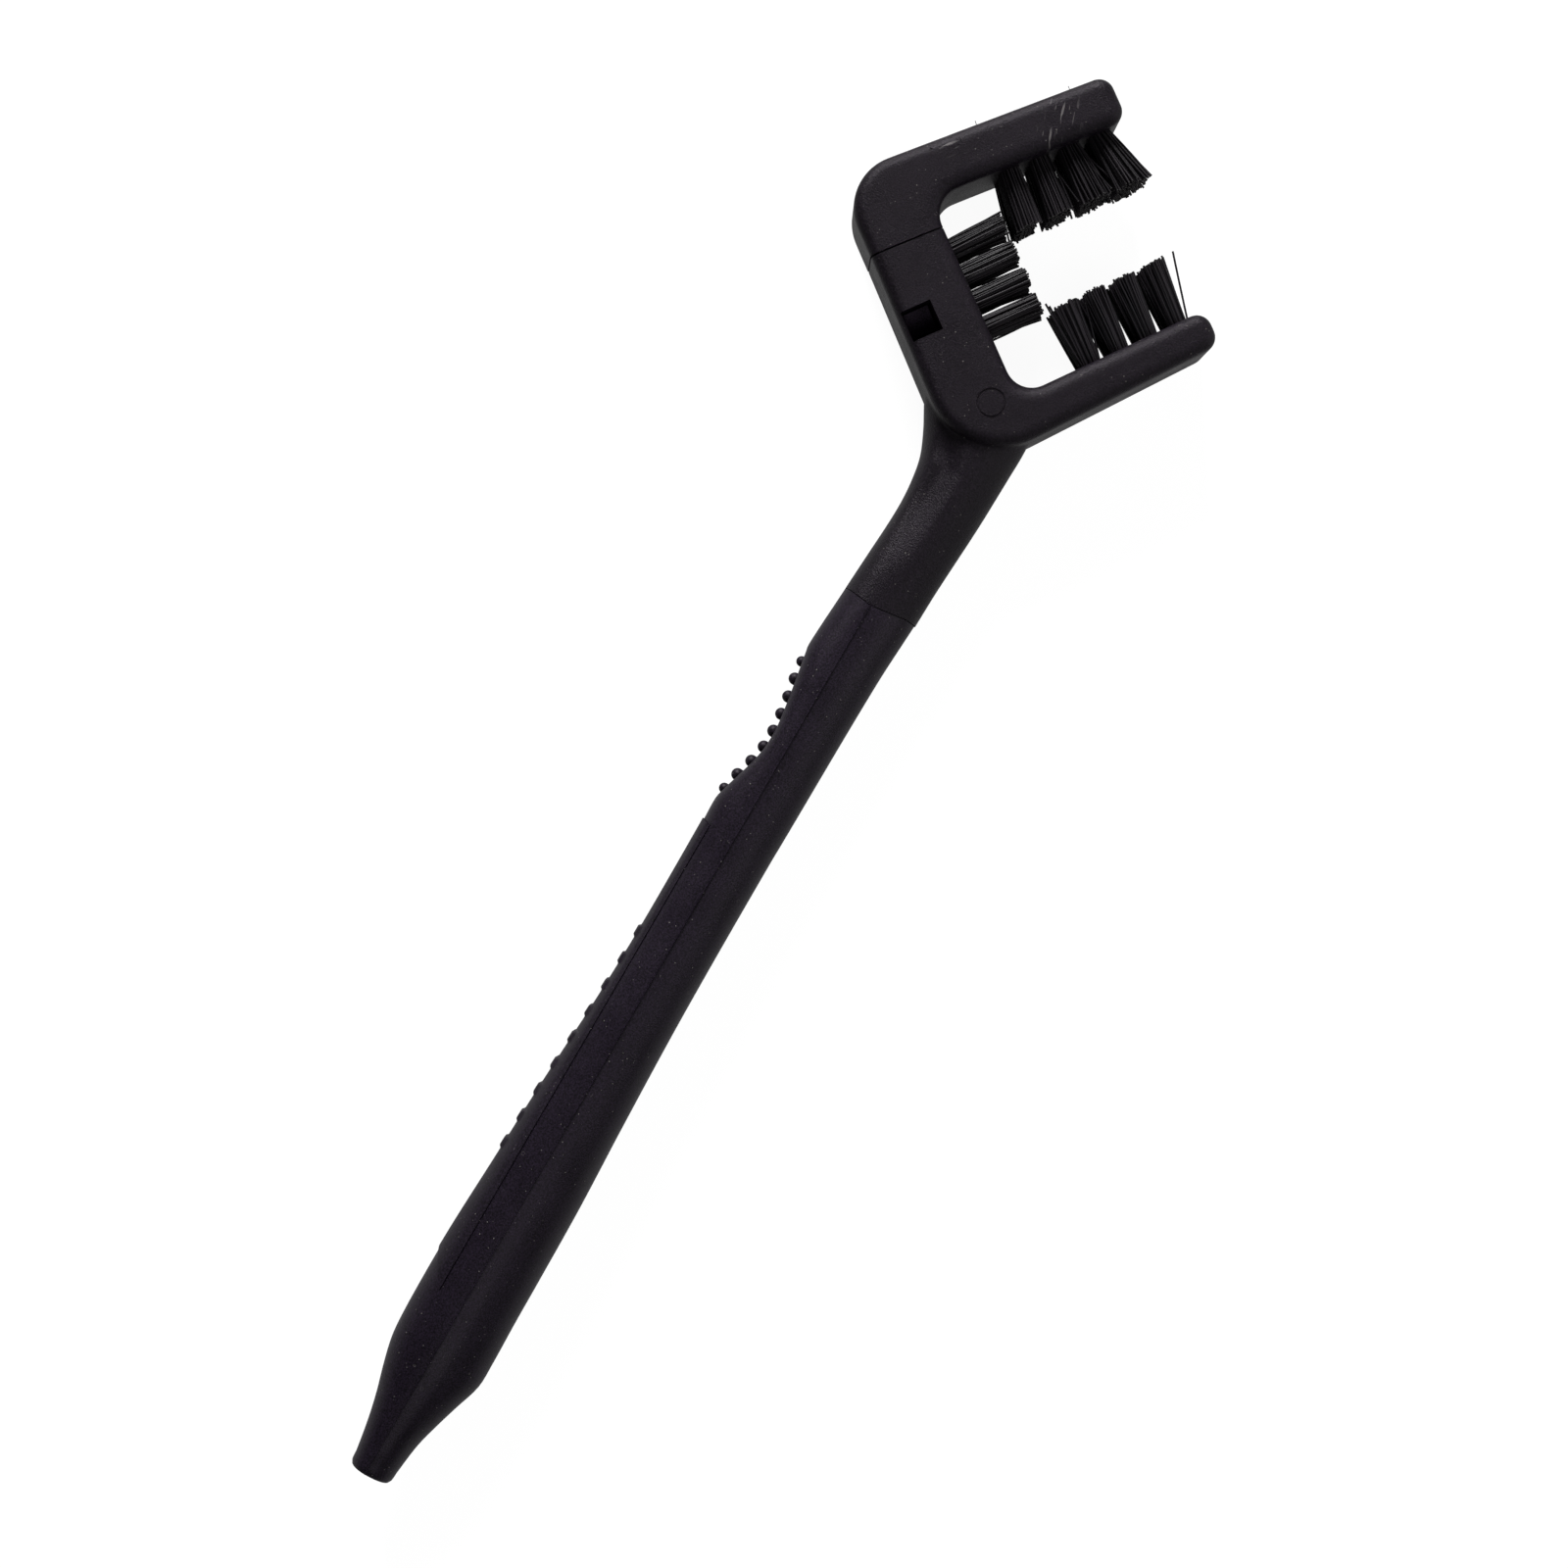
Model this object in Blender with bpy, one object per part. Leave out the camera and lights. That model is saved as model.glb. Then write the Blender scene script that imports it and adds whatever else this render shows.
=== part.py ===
"""Three-sided chain cleaning brush: a C-shaped head with bristles on three sides, on a long two-shell handle.

Metres, +Z up, lying on its back. The origin is on the head's back face, where the handle's axis meets the
corner of the head. +X runs along the handle towards the head, +Y towards the thumb side.
The head has axes of its own: its own x runs along the jaws, its own y up the web.
"""

import math

import bmesh
import bpy
from mathutils import Matrix, Vector

# Clearances
GAP = 0.0003
PARTING_GAP = 0.0002
OVERRUN = 0.002
WELD = 0.00001
SMOOTH_ANGLE = math.radians(40.0)

# Head
HEAD_ANGLE = math.radians(-35.8)
HEAD_THICKNESS = 0.020
HEAD_FILLET = 0.0016
WEB_OUTER_LOW = 0.0086
WEB_OUTER_HIGH = 0.0080
WEB_INNER = 0.0049
LOWER_JAW_REACH = 0.0388
LOWER_JAW_INNER = 0.0011
LOWER_JAW_TIP_INNER = 0.0005
LOWER_JAW_ROOT = 0.0082
LOWER_JAW_TIP = 0.0063
UPPER_JAW_REACH = 0.0399
UPPER_JAW_INNER = 0.0346
UPPER_JAW_TIP_INNER = 0.0332
UPPER_JAW_ROOT = 0.0095
UPPER_JAW_TIP = 0.0082
LOW_CORNER_RADIUS = 0.0125
HIGH_CORNER_RADIUS = 0.0087
LOW_INNER_RADIUS = 0.0044
HIGH_INNER_RADIUS = 0.0047
JAW_TIP_RADIUS = 0.0026
ARC_STEPS = 7
TIP_STEPS = 3

# Joint between the web and the snap arm
SEAM_HEIGHT = 0.0292
SEAM_RISE = 0.0004
SEAM_GAP = 0.0003
SEAM_OVERLENGTH = 0.006
TONGUE_LEFT = 0.0070
TONGUE_WIDTH = 0.0046
TONGUE_DEPTH = 0.0080
TONGUE_LENGTH = 0.0166
WINDOW_SIDE = 0.0053
WINDOW_BELOW_SEAM = 0.01255
RECESS_DEPTH = 0.0054
FINGER_BELOW_SEAM = 0.0032
FINGER_LENGTH = 0.0110
FINGER_WIDTH = 0.0044
FINGER_THICKNESS = 0.0012
FINGER_INSET = 0.0002
HOOK_LENGTH = 0.0035
HOOK_HEIGHT = 0.0026
HOOK_LOW_HEIGHT = 0.0004

# Bristles
TUFT_ROW_PITCH = 0.0047
HOLE_RADIUS = 0.0016
PLUG_LENGTH = 0.0020
ANCHOR_HEIGHT = 0.0013
ANCHOR_THICKNESS = 0.0004
ANCHOR_ROOT = 0.0002
HOLE_SIDES = 10
PLUG_SIDES = 8
STRAND_RADIUS = 0.00027
STRAND_TIP_RADIUS = 0.00023
STRAND_SIDES = 3
STRAND_ROOT = 0.0003
INNER_RING = 0.00050
OUTER_RING = 0.00100
INNER_COUNT = 4
OUTER_COUNT = 8
WEB_TUFT_BELOW_SEAM = 0.00325
WEB_TUFT_PITCH = 0.00465
WEB_TUFT_FREE = 0.0099
LOWER_TUFT_TO_TIP = 0.00454
LOWER_TUFT_PITCH = 0.00522
LOWER_TUFT_FREE = 0.0111
UPPER_TUFT_TO_TIP = 0.00496
UPPER_TUFT_PITCH = 0.00528
UPPER_TUFT_FREE = 0.0101
TUFTS_PER_ROW = 4
TUFT_FLARE_SHARE = 1.65
STRAND_LENGTH_SHARE = 0.05
# How far each tuft's tips lean along its row, as shares of its free length
WEB_LEAN_SHARES = (-0.03, -0.01, 0.0, 0.02)
LOWER_LEAN_SHARES = (-0.01, 0.01, 0.02, 0.01)
UPPER_LEAN_SHARES = (-0.10, -0.07, 0.0, 0.18)

# Neck and spigot
NECK_LENGTH = 0.0375
NECK_THUMB = 0.0051
NECK_HEEL = 0.0081
NECK_DEPTH = 0.0073
SPIGOT_LENGTH = 0.0180
SPIGOT_THUMB = 0.0009
SPIGOT_HEEL = 0.0052
SPIGOT_DEPTH = 0.0050
SPIGOT_CHAMFER = 0.0008
# Place along the neck, thumb side, heel side and depth, as shares of the neck's sizes
NECK_SHARES = (
    (0.00, 1.00, 1.00, 1.00),
    (0.17, 0.92, 1.01, 1.00),
    (0.34, 0.84, 1.05, 1.00),
    (0.46, 0.79, 1.08, 1.01),
    (0.57, 0.81, 1.11, 1.03),
    (0.67, 1.00, 1.13, 1.06),
    (0.78, 1.40, 1.15, 1.09),
    (0.89, 1.86, 1.16, 1.12),
    (0.99, 2.20, 1.14, 1.14),
)

# Handle
HANDLE_LENGTH = 0.1676
HANDLE_THUMB = 0.0084
HANDLE_HEEL = 0.0092
HANDLE_DEPTH = 0.0098
HANDLE_SQUARENESS = 2.35
SECTION_POINTS = 20
WALL = 0.0016
CORE_START = 0.008
CORE_END_MARGIN = 0.003
# Place along the handle, thumb side, heel side and depth, as shares of the handle's sizes
HANDLE_SHARES = (
    (0.0000, 0.28, 0.38, 0.44),
    (0.0035, 0.35, 0.45, 0.52),
    (0.0110, 0.39, 0.49, 0.57),
    (0.046, 0.51, 0.57, 0.66),
    (0.074, 0.64, 0.70, 0.74),
    (0.098, 0.78, 0.83, 0.80),
    (0.127, 0.92, 0.99, 0.87),
    (0.152, 0.965, 1.00, 0.91),
    (0.200, 0.985, 0.98, 0.96),
    (0.250, 0.98, 0.97, 0.99),
    (0.330, 0.92, 0.945, 1.00),
    (0.417, 0.86, 0.88, 0.98),
    (0.518, 0.76, 0.82, 0.93),
    (0.601, 0.72, 0.795, 0.88),
    (0.724, 0.73, 0.785, 0.81),
    (0.749, 0.745, 0.79, 0.80),
    (0.929, 0.68, 0.82, 0.77),
    (1.000, 0.607, 0.88, 0.745),
)
SCOOP_TO_NECK = 0.0113
SCOOP_LENGTH = 0.0300
SCOOP_DEPTH = 0.0029
SCOOP_STATION_SHARES = (0.12, 0.27, 0.42, 0.58, 0.73, 0.88)

# Locating pins between the shells
PIN_RADIUS = 0.0012
PIN_REACH = 0.0034
BOSS_RADIUS = 0.0026
PIN_SIDES = 12
PIN_PLACE_SHARES = (0.15, 0.42, 0.67)
SPIGOT_PIN_SHARE = 0.5

# Soft inlays
INLAY_DEPTH = 0.0008
PAD_PROUD = 0.0001
PAD_MARGIN = 0.0008
PAD_HALF_WIDTH = 0.0044
PAD_END_SHARE = 0.45
PAD_STEPS = 8
PAD_COLUMNS = 4
NUB_ROWS = 9
NUB_PITCH = 0.0031
NUB_RADIUS = 0.00085
NUB_TOP_RADIUS = 0.00045
NUB_HEIGHT = 0.0013
NUB_ROOT = 0.0005
NUB_SPREAD = 0.0012
NUB_SIDES = 8
PANEL_TAIL = 0.0310
PANEL_NOTCH = 0.0065
PANEL_TIP_EASE = 2.0
PANEL_TO_SCOOP = 0.0048
PANEL_HEAD_ROUND = 0.0045
PANEL_EDGE = 0.0047
PANEL_PROUD = 0.00035
PANEL_STEPS = 10
PANEL_COLUMNS = 8
RIB_COUNT = 9
RIB_MIDDLE_OFFSET = 0.00355
RIB_PITCH = 0.0052
RIB_LENGTH = 0.0020
RIB_HALF_WIDTH = 0.0036
RIB_HEIGHT = 0.00035
RIB_COLUMNS = 3

# Places worked out from the sizes above
MID = HEAD_THICKNESS / 2
SEAM_X = -NECK_LENGTH
TAIL_X = SEAM_X - PARTING_GAP - HANDLE_LENGTH
HOLE_DEPTH = PLUG_LENGTH + ANCHOR_HEIGHT + GAP
TONGUE_RIGHT = TONGUE_LEFT - TONGUE_WIDTH
TONGUE_TOP = MID + TONGUE_DEPTH / 2
LATCH_X = TONGUE_WIDTH / 2 - TONGUE_LEFT
WINDOW_HEIGHT = SEAM_HEIGHT - WINDOW_BELOW_SEAM
FINGER_ROOT = SEAM_HEIGHT - FINGER_BELOW_SEAM
FINGER_AXIS_Z = TONGUE_TOP - FINGER_INSET - FINGER_THICKNESS / 2
WEB_TUFT_FIRST = SEAM_HEIGHT - WEB_TUFT_BELOW_SEAM - (TUFTS_PER_ROW - 1) * WEB_TUFT_PITCH
LOWER_TUFT_FIRST = LOWER_JAW_REACH - LOWER_TUFT_TO_TIP - (TUFTS_PER_ROW - 1) * LOWER_TUFT_PITCH
UPPER_TUFT_FIRST = UPPER_JAW_REACH - UPPER_TUFT_TO_TIP - (TUFTS_PER_ROW - 1) * UPPER_TUFT_PITCH
SCOOP_START = HANDLE_LENGTH - SCOOP_TO_NECK - SCOOP_LENGTH
PANEL_HEAD = SCOOP_START - PANEL_TO_SCOOP
RIB_FIRST = (PANEL_TAIL + PANEL_HEAD - (RIB_COUNT - 1) * RIB_PITCH) / 2 + RIB_MIDDLE_OFFSET


def clear_scene():
    for obj in list(bpy.data.objects):
        bpy.data.objects.remove(obj, do_unlink=True)


def make_collection(name):
    collection = bpy.data.collections.new(name)
    bpy.context.scene.collection.children.link(collection)
    return collection


def make_material(name, colour, roughness, metallic=0.0):
    material = bpy.data.materials.new(name)
    material.use_nodes = True
    shader = material.node_tree.nodes["Principled BSDF"]
    shader.inputs["Base Color"].default_value = (*colour, 1.0)
    shader.inputs["Roughness"].default_value = roughness
    shader.inputs["Metallic"].default_value = metallic
    return material


clear_scene()
PARTS = make_collection("chain_cleaning_brush")
CUTTERS = make_collection("cutters")
HARD_PLASTIC = make_material("head_plastic", (0.020, 0.019, 0.020), 0.50)
HANDLE_PLASTIC = make_material("handle_plastic", (0.018, 0.017, 0.018), 0.42)
SOFT_RUBBER = make_material("grip_rubber", (0.014, 0.014, 0.015), 0.65)
NYLON = make_material("bristle_nylon", (0.012, 0.012, 0.013), 0.38)


def make_frame(name, parent, location=(0.0, 0.0, 0.0), turn=0.0):
    """An empty that carries the pieces that share its axes."""
    frame = bpy.data.objects.new(name, None)
    PARTS.objects.link(frame)
    frame.parent = parent
    frame.location = location
    frame.rotation_euler = (0.0, 0.0, turn)
    return frame


def make_object(name, mesh, material=None, parent=None):
    """A part when it has a material, and otherwise a cutter or helper, which stays out of renders."""
    obj = bpy.data.objects.new(name, mesh)
    obj.parent = parent
    if material:
        mesh.materials.append(material)
        PARTS.objects.link(obj)
    else:
        CUTTERS.objects.link(obj)
        obj.hide_render = True
        obj.display_type = "WIRE"
    return obj


def mesh_from(build, name):
    mesh = bpy.data.meshes.new(name)
    bmesh.ops.recalc_face_normals(build, faces=build.faces)
    build.to_mesh(mesh)
    build.free()
    return mesh


def combine(target, other, operation):
    modifier = target.modifiers.new(operation.lower(), "BOOLEAN")
    modifier.operation = operation
    modifier.object = other


def smooth(obj):
    """Shades a round piece smooth, with its edges kept sharp."""
    obj.data.shade_smooth()
    obj.data.set_sharp_from_angle(angle=SMOOTH_ANGLE)
    return obj


def block(name, low, high, material=None, parent=None, chamfer=0.0):
    """A box between two corners, given in its parent's axes."""
    build = bmesh.new()
    size = Vector(high) - Vector(low)
    middle = (Vector(high) + Vector(low)) / 2
    bmesh.ops.create_cube(build, size=1.0, matrix=Matrix.Translation(middle) @ Matrix.Diagonal((*size, 1.0)))
    if chamfer:
        bmesh.ops.bevel(build, geom=build.edges[:], offset=chamfer, segments=1, affect="EDGES")
    return make_object(name, mesh_from(build, name), material, parent)


def add_rod(build, start, direction, length, radius, end_radius, sides):
    """A closed round or tapered rod from start along direction, added to build."""
    turn = Vector(direction).to_track_quat("Z", "Y").to_matrix().to_4x4()
    middle = Vector(start) + Vector(direction).normalized() * (length / 2)
    bmesh.ops.create_cone(
        build,
        cap_ends=True,
        segments=sides,
        radius1=radius,
        radius2=end_radius,
        depth=length,
        matrix=Matrix.Translation(middle) @ turn,
    )


def rods(name, list_of_rods, sides, material=None, parent=None):
    """Separate rods in one mesh, each given by its start, direction, length and radius."""
    build = bmesh.new()
    for start, direction, length, radius in list_of_rods:
        add_rod(build, start, direction, length, radius, radius, sides)
    return make_object(name, mesh_from(build, name), material, parent)


def prism(name, outline, low, high, material=None, parent=None):
    """A solid with straight walls over an outline, from one height to another."""
    return skin(name, [[(x, y, z) for x, y in outline] for z in (low, high)], material, parent)


def skin(name, rings, material=None, parent=None):
    """A closed solid through rings with like counts of points, capped at both ends."""
    build = bmesh.new()
    loops = [[build.verts.new(point) for point in ring] for ring in rings]
    for lower, upper in zip(loops, loops[1:]):
        for i in range(len(lower)):
            j = (i + 1) % len(lower)
            build.faces.new((lower[i], lower[j], upper[j], upper[i]))
    build.faces.new(list(reversed(loops[0])))
    build.faces.new(loops[-1])
    return make_object(name, mesh_from(build, name), material, parent)


def rounded(corners):
    """The outline through corners given as (x, y, radius, steps), with each corner turned into an arc."""
    outline = []
    for i, (x, y, radius, steps) in enumerate(corners):
        corner = Vector((x, y))
        before = Vector(corners[i - 1][:2]) - corner
        after = Vector(corners[(i + 1) % len(corners)][:2]) - corner
        if not radius:
            outline.append(corner)
            continue
        before.normalize()
        after.normalize()
        half = before.angle(after) / 2
        centre = corner + (before + after).normalized() * (radius / math.sin(half))
        start = corner + before * (radius / math.tan(half)) - centre
        end = corner + after * (radius / math.tan(half)) - centre
        turn = start.angle_signed(end)
        for step in range(steps + 1):
            share = step / steps
            outline.append(centre + Matrix.Rotation(-turn * share, 2) @ start)
    return outline


def plate(name, outline, thickness, fillet, material=None, parent=None):
    """A flat plate with rounded edges, standing on z = 0, made from a filled 2D curve."""
    curve = bpy.data.curves.new(name + "_outline", "CURVE")
    curve.dimensions = "2D"
    curve.fill_mode = "BOTH"
    curve.extrude = thickness / 2 - fillet
    curve.bevel_depth = fillet
    curve.bevel_resolution = 1
    curve.offset = -fillet
    spline = curve.splines.new("POLY")
    spline.points.add(len(outline) - 1)
    for point, place in zip(spline.points, outline):
        point.co = (place.x, place.y, 0.0, 1.0)
    spline.use_cyclic_u = True
    drawn = bpy.data.objects.new(name + "_curve", curve)
    CUTTERS.objects.link(drawn)
    graph = bpy.context.evaluated_depsgraph_get()
    mesh = bpy.data.meshes.new_from_object(drawn.evaluated_get(graph))
    bpy.data.objects.remove(drawn, do_unlink=True)
    build = bmesh.new()
    build.from_mesh(mesh)
    bmesh.ops.translate(build, verts=build.verts, vec=(0.0, 0.0, thickness / 2))
    bmesh.ops.remove_doubles(build, verts=build.verts, dist=WELD)
    build.to_mesh(mesh)
    build.free()
    mesh.materials.clear()
    return make_object(name, mesh, material, parent)


# Handle surface

def from_shares(table, share):
    """The row of a table of shares at one place, straight between its rows."""
    for low, high in zip(table, table[1:]):
        if share <= high[0]:
            break
    part = (share - low[0]) / (high[0] - low[0])
    return [a + (b - a) * part for a, b in zip(low[1:], high[1:])]


def scoop_at(place):
    """How deep the thumb scoop is at a distance from the tail, as a circular arc."""
    radius = (SCOOP_LENGTH ** 2 / 4 + SCOOP_DEPTH ** 2) / (2 * SCOOP_DEPTH)
    across = place - SCOOP_START - SCOOP_LENGTH / 2
    if abs(across) >= SCOOP_LENGTH / 2:
        return 0.0
    return math.sqrt(radius ** 2 - across ** 2) - radius + SCOOP_DEPTH


def handle_at(place):
    """Thumb side, heel side and half depth of the handle at a distance from the tail."""
    thumb, heel, depth = from_shares(HANDLE_SHARES, place / HANDLE_LENGTH)
    return thumb * HANDLE_THUMB - scoop_at(place), heel * HANDLE_HEEL, depth * HANDLE_DEPTH


def oval(sine_or_cosine):
    return math.copysign(abs(sine_or_cosine) ** (2 / HANDLE_SQUARENESS), sine_or_cosine)


def section(x, thumb, heel, depth):
    ring = []
    for i in range(SECTION_POINTS):
        angle = 2 * math.pi * i / SECTION_POINTS
        across = oval(math.cos(angle))
        ring.append((x, across * (thumb if across > 0 else heel), MID + oval(math.sin(angle)) * depth))
    return ring


def handle_stations():
    places = [row[0] * HANDLE_LENGTH for row in HANDLE_SHARES]
    places += [SCOOP_START + share * SCOOP_LENGTH for share in SCOOP_STATION_SHARES]
    return sorted(places)


def thumb_side(place, angle, offset):
    """A point on the thumb side at a distance from the tail and an angle from +Y, lifted by offset."""
    thumb, _, depth = handle_at(place)
    return Vector((
        TAIL_X + place,
        oval(math.cos(angle)) * (thumb + offset),
        MID + oval(math.sin(angle)) * (depth + offset),
    ))


def angle_of_width(place, half_width):
    depth = handle_at(place)[2]
    return math.asin(min(1.0, half_width / depth) ** (HANDLE_SQUARENESS / 2))


def angle_of_edge(place, height):
    thumb = handle_at(place)[0]
    return math.acos(min(1.0, height / thumb) ** (HANDLE_SQUARENESS / 2))


def patch(name, start, end, half_angle, offsets, steps, columns, material=None):
    """A curved slab on the thumb side. start and end give the places along the handle for a share across,
    half_angle gives how far round the slab reaches at a place, and offsets are its bottom and top."""
    build = bmesh.new()
    sheets = []
    for offset in offsets:
        sheet = []
        for step in range(steps + 1):
            line = []
            for column in range(columns + 1):
                across = 2 * column / columns - 1
                place = start(across) + (end(across) - start(across)) * step / steps
                line.append(build.verts.new(thumb_side(place, across * half_angle(place), offset)))
            sheet.append(line)
        sheets.append(sheet)
    low, high = sheets
    for step in range(steps):
        for column in range(columns):
            for sheet in sheets:
                build.faces.new((
                    sheet[step][column],
                    sheet[step + 1][column],
                    sheet[step + 1][column + 1],
                    sheet[step][column + 1],
                ))
    for column in range(columns):
        for step in (0, steps):
            build.faces.new((low[step][column], low[step][column + 1], high[step][column + 1], high[step][column]))
    for step in range(steps):
        for column in (0, columns):
            build.faces.new((low[step][column], low[step + 1][column], high[step + 1][column], high[step][column]))
    return make_object(name, mesh_from(build, name), material)


def inlay_at(place):
    """How deep the soft inlays go into the thumb side at a distance from the tail."""
    return INLAY_DEPTH + GAP if place > PANEL_TAIL - WALL else 0.0


# Handle pieces

def make_core():
    """The hollow inside the handle, as a solid."""
    rings = []
    end = HANDLE_LENGTH - SPIGOT_LENGTH - CORE_END_MARGIN
    for place in [CORE_START] + [place for place in handle_stations() if CORE_START < place < end] + [end]:
        thumb, heel, depth = handle_at(place)
        rings.append(section(TAIL_X + place, thumb - WALL - inlay_at(place), heel - WALL, depth - WALL))
    return skin("handle_core", rings)


def make_pad(name, clearance, offsets, material=None):
    """The thumb pad's slab, or with a clearance the pocket that it lies in."""
    first = SCOOP_START + PAD_MARGIN - clearance
    last = SCOOP_START + SCOOP_LENGTH - PAD_MARGIN + clearance
    middle = (first + last) / 2

    def half_angle(place):
        share = abs(place - middle) / (last - middle)
        narrowing = PAD_END_SHARE + (1 - PAD_END_SHARE) * math.sqrt(max(0.0, 1 - share ** 2))
        return angle_of_width(place, PAD_HALF_WIDTH * narrowing + clearance)

    return patch(name, lambda across: first, lambda across: last, half_angle, offsets, PAD_STEPS, PAD_COLUMNS, material)


def make_panel(name, clearance, offsets, material=None):
    """The grip panel's slab, or with a clearance the pocket that it lies in, which is eased at the tips."""
    return patch(
        name,
        lambda across: (
            PANEL_TAIL + PANEL_NOTCH * (1 - across ** 2) - clearance * (1 + PANEL_TIP_EASE * across ** 2)
        ),
        lambda across: PANEL_HEAD - PANEL_HEAD_ROUND * across ** 2 + clearance,
        lambda place: angle_of_edge(place, PANEL_EDGE - clearance),
        offsets,
        PANEL_STEPS,
        PANEL_COLUMNS,
        material,
    )


def pin_places():
    return [TAIL_X + share * HANDLE_LENGTH for share in PIN_PLACE_SHARES]


def spigot_pin_x():
    return SEAM_X - SPIGOT_LENGTH * SPIGOT_PIN_SHARE


def make_shells():
    outer = [section(TAIL_X + place, *handle_at(place)) for place in handle_stations()]
    core = make_core()
    socket = block(
        "spigot_socket",
        (SEAM_X - SPIGOT_LENGTH - CORE_END_MARGIN - OVERRUN, -SPIGOT_HEEL - GAP, MID - SPIGOT_DEPTH - GAP),
        (SEAM_X + OVERRUN, SPIGOT_THUMB + GAP, MID + SPIGOT_DEPTH + GAP),
    )
    inlays = [
        make_pad("thumb_pocket", GAP, (-INLAY_DEPTH - GAP, OVERRUN)),
        make_panel("panel_pocket", GAP, (-INLAY_DEPTH - GAP, OVERRUN)),
    ]
    for name, side, width in (
        ("handle_thumb_shell", 1, HANDLE_THUMB),
        ("handle_heel_shell", -1, HANDLE_HEEL),
    ):
        shell = skin(name, outer, HANDLE_PLASTIC)
        near, far = side * PARTING_GAP / 2, side * (width + OVERRUN)
        half = block(
            name + "_half",
            (TAIL_X - OVERRUN, min(near, far), MID - HANDLE_DEPTH - OVERRUN),
            (SEAM_X + OVERRUN, max(near, far), MID + HANDLE_DEPTH + OVERRUN),
        )
        combine(shell, half, "INTERSECT")
        combine(shell, core, "DIFFERENCE")
        combine(shell, socket, "DIFFERENCE")
        if side > 0:
            add_pins(shell, inlays)
        else:
            add_bosses(shell)
        smooth(shell)


def add_pins(shell, inlays):
    """The thumb shell's pockets, its locating pins and the pin that holds the spigot."""
    for inlay in inlays:
        combine(shell, inlay, "DIFFERENCE")
    pins = []
    for x in pin_places():
        place = x - TAIL_X
        top = handle_at(place)[0] - inlay_at(place) - WALL / 2
        pins.append(((x, -PIN_REACH, MID), (0.0, 1.0, 0.0), PIN_REACH + top, PIN_RADIUS))
    top = SPIGOT_THUMB + GAP + WALL / 2
    low = SPIGOT_HEEL - GAP
    pins.append(((spigot_pin_x(), -low, MID), (0.0, 1.0, 0.0), low + top, PIN_RADIUS))
    combine(shell, rods("locating_pins", pins, PIN_SIDES), "UNION")


def add_bosses(shell):
    """The heel shell's bosses, bored for the locating pins."""
    bosses, bores = [], []
    for x in pin_places():
        low = handle_at(x - TAIL_X)[1] - WALL / 2
        bosses.append(((x, -low, MID), (0.0, 1.0, 0.0), low - PARTING_GAP / 2, BOSS_RADIUS))
        reach = PIN_REACH + GAP
        bores.append(((x, -reach, MID), (0.0, 1.0, 0.0), reach + OVERRUN, PIN_RADIUS + GAP))
    combine(shell, rods("pin_bosses", bosses, PIN_SIDES), "UNION")
    combine(shell, rods("pin_bores", bores, PIN_SIDES), "DIFFERENCE")


def nub_columns(row):
    """Places across the pad of one row's nubs: one at each end, then two and three in turn."""
    if row in (0, NUB_ROWS - 1):
        return (0,)
    return (-1, 1) if row % 2 else (-2, 0, 2)


def make_thumb_pad():
    pad = make_pad("thumb_pad", 0.0, (-INLAY_DEPTH, PAD_PROUD), SOFT_RUBBER)
    build = bmesh.new()
    for row in range(NUB_ROWS):
        place = SCOOP_START + SCOOP_LENGTH / 2 + (row - (NUB_ROWS - 1) / 2) * NUB_PITCH
        for column in nub_columns(row):
            angle = math.copysign(angle_of_width(place, abs(column) * NUB_SPREAD), column)
            foot = thumb_side(place, angle, PAD_PROUD - NUB_ROOT)
            out = thumb_side(place, angle, NUB_HEIGHT) - foot
            add_rod(build, foot, out, NUB_ROOT + NUB_HEIGHT, NUB_RADIUS, NUB_TOP_RADIUS, NUB_SIDES)
    combine(pad, smooth(make_object("nubs", mesh_from(build, "nubs"))), "UNION")
    smooth(pad)


def make_grip_panel():
    panel = make_panel("grip_panel", 0.0, (-INLAY_DEPTH, PANEL_PROUD), SOFT_RUBBER)
    for i in range(RIB_COUNT):
        first = RIB_FIRST + i * RIB_PITCH - RIB_LENGTH / 2
        last = first + RIB_LENGTH
        rib = patch(
            "grip_rib_%d" % (i + 1),
            lambda across, first=first: first,
            lambda across, last=last: last,
            lambda place: angle_of_width(place, RIB_HALF_WIDTH),
            (PANEL_PROUD - RIB_HEIGHT, PANEL_PROUD + RIB_HEIGHT),
            1,
            RIB_COLUMNS,
        )
        combine(panel, rib, "UNION")
    smooth(panel)


# Head pieces

def web_outer(height):
    """The web's outer edge, which leans a little."""
    share = height / SEAM_HEIGHT
    return -(WEB_OUTER_LOW + (WEB_OUTER_HIGH - WEB_OUTER_LOW) * share)


def frame_outline():
    """The web and the lower jaw, with the web longer than it is, to be cut at the seam."""
    root = -LOWER_JAW_INNER - LOWER_JAW_ROOT
    tip = -LOWER_JAW_TIP_INNER - LOWER_JAW_TIP
    top = SEAM_HEIGHT + SEAM_OVERLENGTH
    return rounded((
        (web_outer(top), top, 0.0, 0),
        (web_outer(root), root, LOW_CORNER_RADIUS, ARC_STEPS),
        (LOWER_JAW_REACH, tip, JAW_TIP_RADIUS, TIP_STEPS),
        (LOWER_JAW_REACH, -LOWER_JAW_TIP_INNER, JAW_TIP_RADIUS, TIP_STEPS),
        (WEB_INNER, -LOWER_JAW_INNER, LOW_INNER_RADIUS, ARC_STEPS),
        (WEB_INNER, top, 0.0, 0),
    ))


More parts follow.
